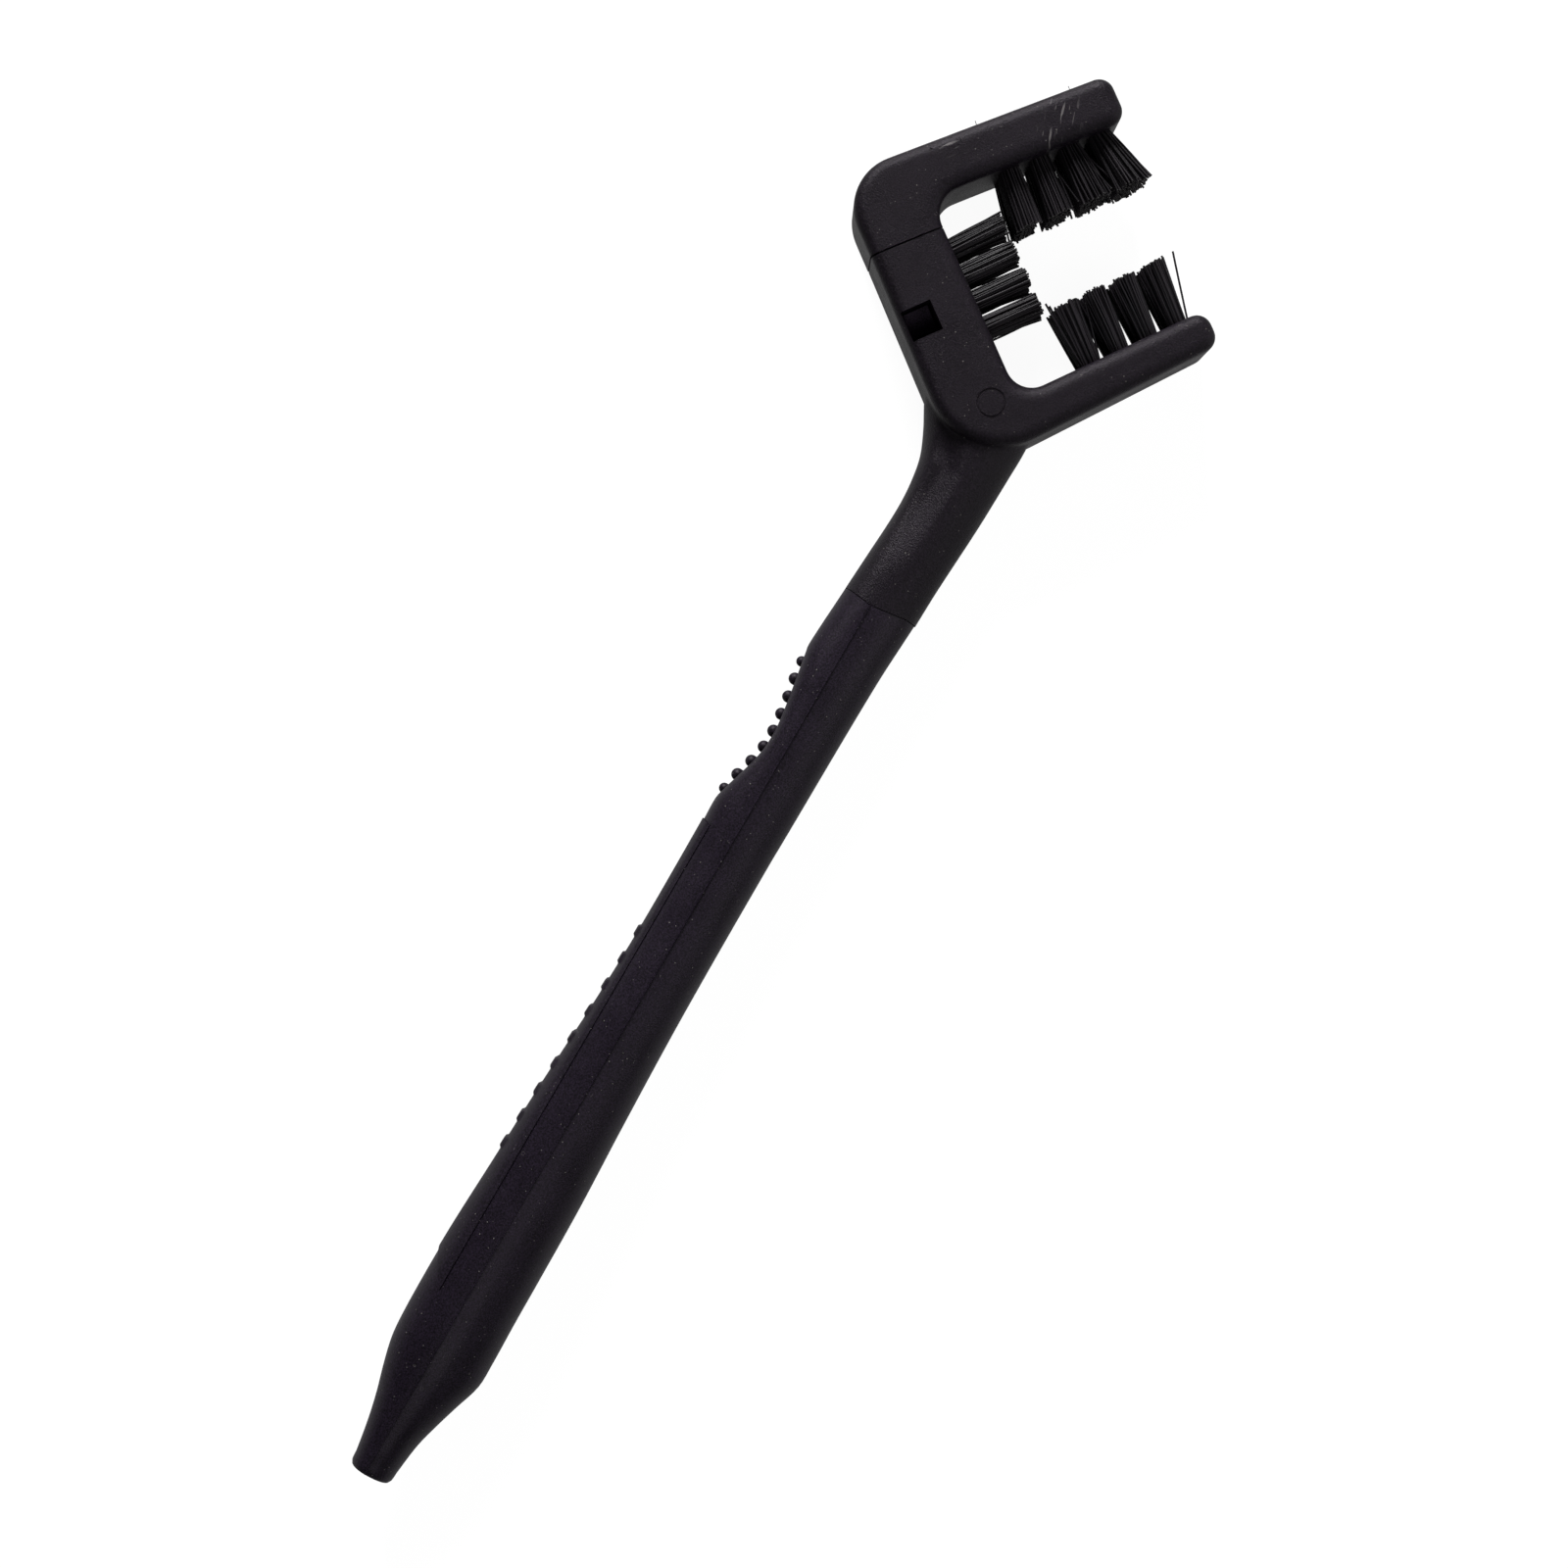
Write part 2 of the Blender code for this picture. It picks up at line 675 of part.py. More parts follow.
def arm_outline():
    """The upper jaw and its end of the web, longer than it is, to be cut at the seam."""
    foot = SEAM_HEIGHT - SEAM_OVERLENGTH
    return rounded((
        (web_outer(foot), foot, 0.0, 0),
        (WEB_INNER, foot, 0.0, 0),
        (WEB_INNER, UPPER_JAW_INNER, HIGH_INNER_RADIUS, ARC_STEPS),
        (UPPER_JAW_REACH, UPPER_JAW_TIP_INNER, JAW_TIP_RADIUS, TIP_STEPS),
        (UPPER_JAW_REACH, UPPER_JAW_TIP_INNER + UPPER_JAW_TIP, JAW_TIP_RADIUS, TIP_STEPS),
        (web_outer(UPPER_JAW_INNER), UPPER_JAW_INNER + UPPER_JAW_ROOT, HIGH_CORNER_RADIUS, ARC_STEPS),
    ))


def seam_cutter(name, gap, far, parent):
    """The space beyond the seam on the side of far, with a gap left at the seam."""
    left, right = web_outer(SEAM_HEIGHT), WEB_INNER
    slope = SEAM_RISE / (right - left)
    left, right = left - OVERRUN, right + OVERRUN
    return prism(
        name,
        (
            (left, SEAM_HEIGHT + gap + SEAM_RISE + OVERRUN * slope),
            (right, SEAM_HEIGHT + gap - OVERRUN * slope),
            (right, far),
            (left, far),
        ),
        -OVERRUN,
        HEAD_THICKNESS + OVERRUN,
        parent=parent,
    )


def lower_jaw_face(x):
    """Height of the lower jaw's inner face, which rises to its tip."""
    share = (x - WEB_INNER) / (LOWER_JAW_REACH - WEB_INNER)
    return (LOWER_JAW_INNER - LOWER_JAW_TIP_INNER) * share - LOWER_JAW_INNER


def upper_jaw_face(x):
    """Height of the upper jaw's inner face, which slopes to its tip."""
    share = (x - WEB_INNER) / (UPPER_JAW_REACH - WEB_INNER)
    return UPPER_JAW_INNER + (UPPER_JAW_TIP_INNER - UPPER_JAW_INNER) * share


def tuft_seats(side):
    """(name, seat on the jaw or web, direction, lean) of each tuft of one side, in the head's axes."""
    seats = []
    for row, z in (("front", MID + TUFT_ROW_PITCH), ("middle", MID), ("back", MID - TUFT_ROW_PITCH)):
        for i in range(TUFTS_PER_ROW):
            if side == "web":
                seat = Vector((WEB_INNER, WEB_TUFT_FIRST + i * WEB_TUFT_PITCH, z))
                aim = Vector((1.0, 0.0, 0.0))
                lean = Vector((0.0, WEB_LEAN_SHARES[i], 0.0))
            elif side == "lower":
                x = LOWER_TUFT_FIRST + i * LOWER_TUFT_PITCH
                seat = Vector((x, lower_jaw_face(x), z))
                aim = Vector((0.0, 1.0, 0.0))
                lean = Vector((LOWER_LEAN_SHARES[i], 0.0, 0.0))
            else:
                x = UPPER_TUFT_FIRST + i * UPPER_TUFT_PITCH
                seat = Vector((x, upper_jaw_face(x), z))
                aim = Vector((0.0, -1.0, 0.0))
                lean = Vector((UPPER_LEAN_SHARES[i], 0.0, 0.0))
            seats.append(("%s_%d" % (row, i + 1), seat, aim, lean))
    return seats


def hole_cutters(name, sides, parent):
    holes = []
    for side in sides:
        for _, seat, aim, _ in tuft_seats(side):
            holes.append((seat - aim * HOLE_DEPTH, aim, HOLE_DEPTH + OVERRUN, HOLE_RADIUS))
    return rods(name, holes, HOLE_SIDES, parent=parent)


def strand_places():
    """Places of the strands across a tuft: two rings, with the inner one's strands between the outer one's."""
    places = []
    for radius, count, turn in ((INNER_RING, INNER_COUNT, math.pi / OUTER_COUNT), (OUTER_RING, OUTER_COUNT, 0.0)):
        for i in range(count):
            angle = 2 * math.pi * i / count + turn
            places.append(Vector((radius * math.cos(angle), radius * math.sin(angle))))
    return places


def make_tuft(name, seat, aim, lean, free, parent):
    """Strands that fan out from a plug with the flat staple that anchors it under it, all one solid."""
    side_way = Vector((0.0, 0.0, 1.0)).cross(aim)
    radius = HOLE_RADIUS - GAP
    build = bmesh.new()
    add_rod(build, (0.0, 0.0, 0.0), -aim, PLUG_LENGTH, radius, radius, PLUG_SIDES)
    plug = make_object(name, mesh_from(build, name), NYLON, parent)
    height = ANCHOR_HEIGHT + ANCHOR_ROOT
    half = (aim * height + side_way * ANCHOR_THICKNESS) / 2 + Vector((0.0, 0.0, radius - GAP))
    half = Vector([abs(value) for value in half])
    middle = aim * (ANCHOR_ROOT - PLUG_LENGTH - height / 2)
    anchor = block(name + "_anchor", middle - half, middle + half, parent=parent)
    anchor.location = seat
    build = bmesh.new()
    for i, place in enumerate(strand_places()):
        foot = side_way * place.x + Vector((0.0, 0.0, place.y))
        reach = free * (1 - STRAND_LENGTH_SHARE * (i % 3) / 2)
        tip = foot * TUFT_FLARE_SHARE + (aim + lean) * reach
        way = (tip - foot).normalized()
        start = foot - way * STRAND_ROOT
        length = (tip - start).length
        add_rod(build, start, way, length, STRAND_RADIUS, STRAND_TIP_RADIUS, STRAND_SIDES)
    strands = make_object(name + "_strands", mesh_from(build, name + "_strands"), parent=parent)
    plug.location = seat
    strands.location = seat
    combine(plug, strands, "UNION")
    combine(plug, anchor, "UNION")


def make_tufts(side, free, parent):
    for label, seat, aim, lean in tuft_seats(side):
        make_tuft("%s_tuft_%s" % (side, label), seat, aim, lean, free, parent)


def neck_rings():
    rings = []
    for along, thumb, heel, depth in NECK_SHARES:
        rings.append(section(SEAM_X + along * NECK_LENGTH, thumb * NECK_THUMB, heel * NECK_HEEL, depth * NECK_DEPTH))
    return rings


def make_head_frame(head):
    frame = plate("head_frame", frame_outline(), HEAD_THICKNESS, HEAD_FILLET, HARD_PLASTIC, head)
    beyond = SEAM_HEIGHT + SEAM_OVERLENGTH + OVERRUN
    combine(frame, seam_cutter("above_seam", 0.0, beyond, head), "DIFFERENCE")
    combine(frame, smooth(skin("neck", neck_rings())), "UNION")
    spigot = block(
        "spigot",
        (SEAM_X - SPIGOT_LENGTH, -SPIGOT_HEEL, MID - SPIGOT_DEPTH),
        (SEAM_X + NECK_THUMB, SPIGOT_THUMB, MID + SPIGOT_DEPTH),
        chamfer=SPIGOT_CHAMFER,
    )
    combine(frame, spigot, "UNION")
    cross_hole = ((spigot_pin_x(), -SPIGOT_HEEL - OVERRUN, MID), (0.0, 1.0, 0.0))
    cross_length = SPIGOT_HEEL + SPIGOT_THUMB + 2 * OVERRUN
    combine(frame, rods("spigot_hole", [(*cross_hole, cross_length, PIN_RADIUS + GAP)], PIN_SIDES), "DIFFERENCE")
    tongue_socket = block(
        "tongue_socket",
        (-TONGUE_LEFT - GAP, SEAM_HEIGHT - TONGUE_LENGTH - GAP, MID - TONGUE_DEPTH / 2 - GAP),
        (-TONGUE_RIGHT + GAP, SEAM_HEIGHT + OVERRUN, TONGUE_TOP + GAP),
        parent=head,
    )
    combine(frame, tongue_socket, "DIFFERENCE")
    window = block(
        "latch_window",
        (LATCH_X - WINDOW_SIDE / 2, WINDOW_HEIGHT - WINDOW_SIDE / 2, MID),
        (LATCH_X + WINDOW_SIDE / 2, WINDOW_HEIGHT + WINDOW_SIDE / 2, HEAD_THICKNESS + OVERRUN),
        parent=head,
    )
    combine(frame, window, "DIFFERENCE")
    combine(frame, hole_cutters("frame_tuft_holes", ("web", "lower"), head), "DIFFERENCE")
    smooth(frame)


def make_snap_arm(head, slide):
    arm = plate("snap_arm", arm_outline(), HEAD_THICKNESS, HEAD_FILLET, HARD_PLASTIC, slide)
    beyond = SEAM_HEIGHT - SEAM_OVERLENGTH - OVERRUN
    combine(arm, seam_cutter("below_seam", SEAM_GAP, beyond, slide), "DIFFERENCE")
    tongue = block(
        "tongue",
        (-TONGUE_LEFT, SEAM_HEIGHT - TONGUE_LENGTH, MID - TONGUE_DEPTH / 2),
        (-TONGUE_RIGHT, SEAM_HEIGHT + OVERRUN, TONGUE_TOP),
        parent=slide,
    )
    combine(arm, tongue, "UNION")
    recess = block(
        "finger_recess",
        (-TONGUE_LEFT - OVERRUN, SEAM_HEIGHT - TONGUE_LENGTH - OVERRUN, TONGUE_TOP - RECESS_DEPTH),
        (-TONGUE_RIGHT + OVERRUN, FINGER_ROOT + GAP, TONGUE_TOP + OVERRUN),
        parent=slide,
    )
    combine(arm, recess, "DIFFERENCE")
    combine(arm, hole_cutters("arm_tuft_holes", ("upper",), slide), "DIFFERENCE")
    smooth(arm)


def make_latch_finger(hinge):
    """The springy finger with its sloping hook, in the axes of its hinge at the root."""
    half = FINGER_WIDTH / 2
    top = FINGER_THICKNESS / 2
    hook_high = WINDOW_HEIGHT + WINDOW_SIDE / 2 - GAP - FINGER_ROOT
    hook_low = hook_high - HOOK_LENGTH
    profile = (
        (0.0, -top),
        (-FINGER_LENGTH, -top),
        (-FINGER_LENGTH, top),
        (hook_low, top + HOOK_LOW_HEIGHT),
        (hook_high, top + HOOK_HEIGHT),
        (hook_high, top),
        (0.0, top),
    )
    skin("latch_finger", [[(x, y, z) for y, z in profile] for x in (-half, half)], HARD_PLASTIC, hinge)


def main():
    head = make_frame("head_axes", None, turn=HEAD_ANGLE)
    slide = make_frame("snap_arm_slide", head)
    hinge = make_frame("latch_hinge", slide, (LATCH_X, FINGER_ROOT, FINGER_AXIS_Z))
    bpy.context.view_layer.update()
    make_head_frame(head)
    make_snap_arm(head, slide)
    make_latch_finger(hinge)
    make_tufts("web", WEB_TUFT_FREE, head)
    make_tufts("lower", LOWER_TUFT_FREE, head)
    make_tufts("upper", UPPER_TUFT_FREE, slide)
    make_shells()
    make_thumb_pad()
    make_grip_panel()


main()
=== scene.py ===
"""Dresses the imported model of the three-sided chain cleaning brush and sets its stage.

Metres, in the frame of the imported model: +X runs along the handle towards the head, +Y towards the thumb side
and +Z out of the head's front face. The head is worked out in axes of its own, x along the jaws and y up the
web, and is then turned into place.
"""

import math

import bmesh
import bpy
import numpy as np
from bpy.props import FloatProperty, FloatVectorProperty, IntProperty, PointerProperty
from mathutils import Matrix, Vector


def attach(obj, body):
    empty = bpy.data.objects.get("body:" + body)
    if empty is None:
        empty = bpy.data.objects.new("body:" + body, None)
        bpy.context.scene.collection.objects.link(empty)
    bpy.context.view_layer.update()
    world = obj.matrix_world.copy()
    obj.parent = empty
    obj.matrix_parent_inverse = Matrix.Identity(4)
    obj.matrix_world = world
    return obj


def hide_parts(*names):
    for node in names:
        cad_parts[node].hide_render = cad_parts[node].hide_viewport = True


bl_info = {
    "name": "Chain Cleaning Brush",
    "version": (1, 0, 0),
    "blender": (4, 5, 0),
    "location": "3D View > Sidebar > Chain Brush",
    "description": "Builds the moulded head, the bristles and the two-shell handle of a chain cleaning brush",
    "category": "Object",
}

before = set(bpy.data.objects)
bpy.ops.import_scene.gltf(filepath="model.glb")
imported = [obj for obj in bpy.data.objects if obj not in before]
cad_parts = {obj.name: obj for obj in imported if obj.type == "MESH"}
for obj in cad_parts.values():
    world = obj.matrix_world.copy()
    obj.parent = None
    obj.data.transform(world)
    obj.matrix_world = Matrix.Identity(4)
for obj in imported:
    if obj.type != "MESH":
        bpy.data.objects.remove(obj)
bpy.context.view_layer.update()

# Head, in its own axes
HEAD_ANGLE = math.radians(-35.8)
HEAD_THICKNESS = 0.020
WEB_OUTER_LOW = 0.0086
WEB_OUTER_HIGH = 0.0080
WEB_INNER = 0.0049
LOWER_REACH = 0.0388
LOWER_INNER = 0.0011
LOWER_TIP_INNER = 0.0005
LOWER_ROOT = 0.0082
LOWER_TIP = 0.0063
UPPER_REACH = 0.0399
UPPER_INNER = 0.0346
UPPER_TIP_INNER = 0.0332
UPPER_ROOT = 0.0095
UPPER_TIP = 0.0082
LOW_CORNER = 0.0125
HIGH_CORNER = 0.0087
LOW_INNER_CORNER = 0.0044
HIGH_INNER_CORNER = 0.0047
TIP_CORNER = 0.0026
SEAM_HEIGHT = 0.0292
SEAM_RISE = 0.0004
SEAM_GAP = 0.00030
# The lip in the seam: inset from the web's sides, depth below the seam and inset from the faces
SEAM_LIP = (0.0016, 0.0010, 0.0012)
SEAM_LIP_ROOT = 0.0015
SEAM_LIP_PLAY = 0.00012
OVERLENGTH = 0.006
OVERCUT = 0.002
# Left, right, foot, low and high
TONGUE = (-0.0070, -0.0024, 0.0126, 0.0060, 0.0140)
TONGUE_PLAY = 0.0003
LATCH_X = -0.0047
WINDOW_SIDE = 0.0053
WINDOW_HEIGHT = 0.01665
RECESS_FLOOR = 0.0086
FINGER_ROOT = 0.0260
# Middle, radius, half width and depth of the faint ring that an ejector pin leaves
EJECTOR_MARK = (0.0002, -0.0003, 0.0023, 0.00034, 0.00018)
RING_SIDES = 64
# How far before the tips, or above the corner, the inner roll changes, and its shares at the edges given
LOWER_FADE = 0.008
LOWER_TIP_SHARE = 0.45
LOWER_ROOT_SHARE = 0.5
WEB_FADE = 0.010
UPPER_FADE = 0.006
UPPER_TIP_SHARE = 0.2
OUTLINE_SPACING = 0.0008
EDGE_STEPS = 8
SOFTEN_ROUNDS = 3
# Small marks of the upper jaw: start, direction, length and radius
ARM_DASHES = [
    ((-0.0062, 0.0342 + 0.0011 * i, HEAD_THICKNESS), (0.0, 1.0, 0.0), 0.0007, 0.00009) for i in range(4)
]
ARM_NICKS = [
    ((0.0078, 0.0424, HEAD_THICKNESS), (0.5, -0.7, -0.2), 0.0010, 0.00018),
    ((0.0126, 0.0415, HEAD_THICKNESS), (-0.2, 1.0, -0.2), 0.0008, 0.00016),
    ((0.0131, 0.0417, HEAD_THICKNESS), (0.3, -1.0, -0.2), 0.0007, 0.00012),
    ((0.0181, 0.0412, HEAD_THICKNESS), (0.6, 0.6, -0.2), 0.0007, 0.00015),
]
ARM_FLASH = [
    ((0.0170, 0.0424, 0.0166), (0.05, 1.0, 0.2), 0.0012, 0.00007),
    ((0.0335, 0.0414, 0.0166), (-0.05, 1.0, 0.2), 0.0012, 0.00006),
]

# Bristles
HOLE_RADIUS = 0.0016
HOLE_DEPTH = 0.0036
HOLE_SIDES = 20
AIMS = {"web": (1.0, 0.0, 0.0), "lower": (0.0, 1.0, 0.0), "upper": (0.0, -1.0, 0.0)}
# For each side the place of its first tuft, the pitch of the tufts and the reach of their strands
TUFTS = {
    "web": (0.0120, 0.00465, 0.0099),
    "lower": (0.0186, 0.00522, 0.0111),
    "upper": (0.0191, 0.00528, 0.0101),
}
# Front, middle and back row: height, lean upwards, lean along the arms and lean along the web
TUFT_ROWS = ((0.0147, 0.05, 0.0, 0.0), (0.0100, 0.0, -0.02, -0.055), (0.0053, -0.05, -0.04, 0.055))
# For each side the radius of a tuft's foot, and for each tuft its lean along the row and how far it opens
TUFT_ENDS = {
    "web": (0.00190, ((-0.01, 1.06), (0.0, 1.04), (0.01, 1.04), (0.03, 1.08))),
    "lower": (0.00164, ((0.0, 1.42), (-0.005, 1.42), (0.01, 1.36), (0.02, 1.30))),
    "upper": (0.00190, ((-0.080, 1.26), (-0.030, 1.36), (0.060, 1.66), (0.20, 2.05))),
}
# Single strands that stray: foot, lean and reach
STRAYS = {
    "web": (
        ((0.0049, 0.0272, 0.0150), (0.0, 0.115, 0.04), 0.0104),
        ((0.0049, 0.0266, 0.0152), (0.0, 0.090, 0.06), 0.0101),
    ),
    "lower": (
        ((0.0359, -0.0005, 0.0147), (0.215, 0.0, 0.02), 0.0118),
        ((0.0356, -0.0005, 0.0140), (0.090, 0.0, -0.02), 0.0116),
        ((0.0199, -0.0008, 0.0145), (0.190, 0.0, 0.10), 0.0100),
        ((0.0172, -0.0008, 0.0150), (-0.145, 0.0, 0.06), 0.0121),
        ((0.0176, -0.0008, 0.0130), (-0.120, 0.0, 0.0), 0.0118),
        ((0.0302, -0.0008, 0.0147), (0.080, 0.0, 0.05), 0.0114),
    ),
    "upper": (
        ((0.0304, 0.0337, 0.0150), (0.42, 0.0, 0.10), 0.0096),
        ((0.0300, 0.0337, 0.0154), (0.33, 0.0, 0.14), 0.0094),
        ((0.0254, 0.0339, 0.0152), (0.22, 0.0, 0.12), 0.0096),
        ((0.0358, 0.0334, 0.0146), (0.30, 0.0, 0.05), 0.0100),
        ((0.0362, 0.0334, 0.0138), (0.33, 0.0, 0.0), 0.0097),
    ),
}
STRAND_SIDES = 6
STRAND_POINTS = 6
STRAND_THINNING = 0.10
GOLDEN_ANGLE = 2.39996
# Least and most of what differs by chance: a strand's place in its tuft, as shares of the radius and as an
# angle, how far it opens and a nub's size
RADIUS_PLAY = (0.93, 1.04)
ANGLE_PLAY = (-0.16, 0.16)
FLARE_PLAY = (0.92, 1.08)
NUB_PLAY = (0.95, 1.04)

# Neck and handle. Sizes hold the thumb side, the heel side and the depth, and rows a place along and the
# share of each of them.
NECK_LENGTH = 0.0375
NECK_SIZES = (0.0051, 0.0081, 0.0073)
NECK_ROWS = (
    (0.00, 1.00, 1.02, 1.00),
    (0.17, 0.93, 1.04, 1.00),
    (0.34, 0.86, 1.08, 1.00),
    (0.46, 0.85, 1.11, 1.01),
    (0.57, 0.92, 1.13, 1.03),
    (0.67, 1.07, 1.14, 1.06),
    (0.78, 1.42, 1.15, 1.09),
    (0.89, 1.86, 1.16, 1.12),
    (0.99, 2.20, 1.14, 1.14),
)
NECK_STEPS = 110
NECK_STEPS_BEYOND = 4
NECK_SIDES = 176
NECK_GAP = 0.00008
# The hollow beside the neck's crest: depth, where it starts and ends along the neck, the line of its crest
# with the place from which that turns, and how it fades on both sides of the line
HOLLOW_DEPTH = 0.00135
HOLLOW_STARTS = (-0.0350, -0.0170)
HOLLOW_ENDS = (-0.0110, -0.0035)
HOLLOW_LINE = (0.0011, 0.40, 0.0128)
HOLLOW_HEEL_SIDE = (-0.0036, 0.0)
HOLLOW_THUMB_SIDE = (0.0, 0.0026)
HOLLOW_FADE = 0.70
# The low swelling on the heel side: height, end, middle and width
SWELLING = (0.0005, -0.018, -0.0040, 0.0035)
# The seam between neck and handle: how far its middle runs towards the tail, and how wide that bow is
SEAM_BOW = 0.0010
SEAM_BOW_REACH = 0.0065
SEAM_BOW_LENGTH = 0.008
# Length, thumb side, heel side and half depth
SPIGOT = (0.0180, 0.0009, 0.0052, 0.0050)
SQUARENESS = 2.35
SCOOP_SQUARENESS = 0.8
HANDLE_LENGTH = 0.1676
HANDLE_GAP = 0.0002
HANDLE_STEPS = 150
HANDLE_SIDES = 112
HANDLE_SIZES = (0.0084, 0.0092, 0.0098)
HANDLE_ROWS = (
    (0.0000, 0.35, 0.45, 0.50),
    (0.0030, 0.38, 0.48, 0.545),
    (0.0110, 0.39, 0.49, 0.57),
    (0.046, 0.51, 0.57, 0.66),
    (0.074, 0.64, 0.70, 0.74),
    (0.098, 0.78, 0.83, 0.80),
    (0.127, 0.92, 0.99, 0.87),
    (0.152, 0.965, 1.00, 0.91),
    (0.200, 0.985, 0.98, 0.96),
    (0.250, 0.98, 0.97, 0.99),
    (0.330, 0.92, 0.945, 1.00),
    (0.417, 0.86, 0.88, 0.98),
    (0.518, 0.76, 0.82, 0.93),
    (0.601, 0.72, 0.795, 0.88),
    (0.724, 0.73, 0.785, 0.81),
    (0.749, 0.745, 0.79, 0.80),
    (0.929, 0.68, 0.82, 0.77),
    (1.000, 0.607, 0.88, 0.745),
)
SCOOP = (0.1263, 0.0300, 0.0026)
SCOOP_ROWS = (
    (0.00, 0.0),
    (0.02, 0.02),
    (0.12, 0.29),
    (0.25, 0.70),
    (0.35, 0.94),
    (0.43, 1.0),
    (0.52, 0.95),
    (0.60, 0.81),
    (0.77, 0.46),
    (0.94, 0.09),
    (1.00, 0.0),
)
WALL = 0.0016
# How far the hollow inside the handle stays from the tail and from the seam
CORE_ENDS = (0.006, 0.021)
# Height of the fine raised line where the shells meet, and half the angle that it takes up
PARTING_LINE = 0.00028
PARTING_HALF_ANGLE = 0.012
HALF_SPACE = 0.02
SOCKET_EXTRA = 0.005
# The rib beside the parting line: height, where it starts and ends along the handle, and its fade across
TAIL_RIB = 0.00016
TAIL_RIB_STARTS = (0.0030, 0.0040)
TAIL_RIB_ENDS = (0.042, 0.085)
TAIL_RIB_SIDE = (0.0022, 0.0050)
PLAY = 0.0003
FINE_GAP = 0.00004
INLAY_DEPTH = 0.0008
PAD_MARGIN = 0.0008
PAD_HALF_WIDTH = 0.0044
PAD_END_SHARES = (0.45, 0.55)
PAD_DROP = 0.00045
PANEL_TAIL = 0.0333
PANEL_NOTCH = 0.0053
PANEL_HEAD = 0.1223
PANEL_HEAD_ROUND = 0.0004
PANEL_EDGE = 0.0047
PANEL_LIFT = 0.00026
PANEL_EDGE_DROP = 0.00020
PANEL_EDGE_ROLL = (0.80, 0.98)
# Count, first place, pitch, length and half width. The fades are shares of the half width and of the length.
RIBS = (9, 0.0590, 0.0052, 0.0020, 0.0036)
RIB_SIDE_FADE = 0.88
RIB_END_FADES = (0.38, 0.58)
# Rows, pitch, half the spread of a row, offset of the rows towards the tail and share of size of the end nubs
NUBS = (9, 0.0031, 0.0012, 0.0005, 0.86)

# Finishes
SCRATCH_TINT = (0.15, 0.14, 0.14, 1.0)
DUST_TINT = (0.16, 0.15, 0.14, 1.0)
CUT_END_TINT = (0.030, 0.028, 0.028, 1.0)
SHINE_TINT = (1.0, 0.93, 1.0, 1.0)
SCRATCH_STRETCH = (0.13, 1.0, 0.13)
SCRATCH_LINES = (0.585, 0.63)
SCRATCH_STRENGTH = 0.8
# Patches of scratches on the upper jaw: place, turn in degrees and reach
WEAR = (
    ((0.0300, 0.0385), -20.0, 0.0050),
    ((0.0265, 0.0355), -28.0, 0.0034),
    ((0.0110, 0.0416), 35.0, 0.0030),
)
GRAIN_DEPTH = 0.00017
# The grain's part in the colour: where it counts, its weight and what is there without it. Then the same two
# for the slow waves, and their weight in the roughness.
MOTTLE_FROM = (0.34, 0.68)
MOTTLE = (1.45, 0.27)
CLOUDS = (0.7, 0.65)
GLOSS_CHANGE = 0.22
# Scale and depth of the pits beside the grain's
PITS = (0.45, 0.12)
WAVE_SCALE = 140.0
WAVE_DEPTH = 0.0004
DUST_SCALE = 1700.0
DUST_SIZE = 0.17
DUST_FIBRES = 0.9
DUST_CONTRAST = 2.2
DUST_ROUGHNESS = 0.9
FIBRE_BREAKS = (0.47, 0.53)
# Fibres of dust: scale beside the specks', radius and half width of the curl, scale of its breaks, strength
FIBRES = (0.21, 0.11, 0.011, 1100.0, 0.35)
# Strands: where the cut end starts along them, what the palest is to the darkest, how roughness grows with
# the tone and at the cut end, and the scale, strength and depth of their fine bumps
CUT_END = (0.985, 0.999)
PALE_STRAND = (2.4, 2.3, 2.3)
STRAND_ROUGHNESS = (0.14, 0.3)
STRAND_BUMPS = (2600.0, 0.25, 0.00004)

# Stage
FLOOR_SIZE = 60.0
FLOOR_GLOW = 0.95
MIRRORED_GLOW = 0.35
LAMP_TARGET = (-0.07, 0.0, 0.01)
# For each lamp its place and its size
LAMPS = {
    "key": ((0.66, 0.58, 0.46), 0.36),
    "fill": ((0.35, -0.70, 0.50), 0.80),
    "back": ((-0.46, -0.26, 0.85), 0.40),
}
CAMERA_PLACE = (-0.0713, -0.0025)
CAMERA_RIGHT = (0.503, -0.864, 0.0)
CAMERA_UP = (0.864, 0.503, 0.0)
SENSOR_WIDTH = 36.0
# Half the picture's width in pixels, and the pixels to a millimetre at a distance in millimetres
PICTURE_SCALE = (800.0, 6.1, 570.0)

MID = HEAD_THICKNESS / 2
SEAM_X = -NECK_LENGTH
TAIL_X = SEAM_X - HANDLE_GAP - HANDLE_LENGTH


# Sizes and colours that a user may change


def size(name, about, default, least, most):
    return FloatProperty(
        name=name,
        description=about,
        default=default,
        min=least,
        max=most,
        precision=5,
        unit="LENGTH",
        subtype="DISTANCE",
    )


def share(name, about, default, least=0.0, most=1.0):
    return FloatProperty(name=name, description=about, default=default, min=least, max=most, precision=3)


def strength(name, about, default):
    return FloatProperty(name=name, description=about, default=default, min=0.0)


def colour(name, about, default):
    return FloatVectorProperty(
        name=name, description=about, default=default, size=3, min=0.0, max=1.0, subtype="COLOR"
    )


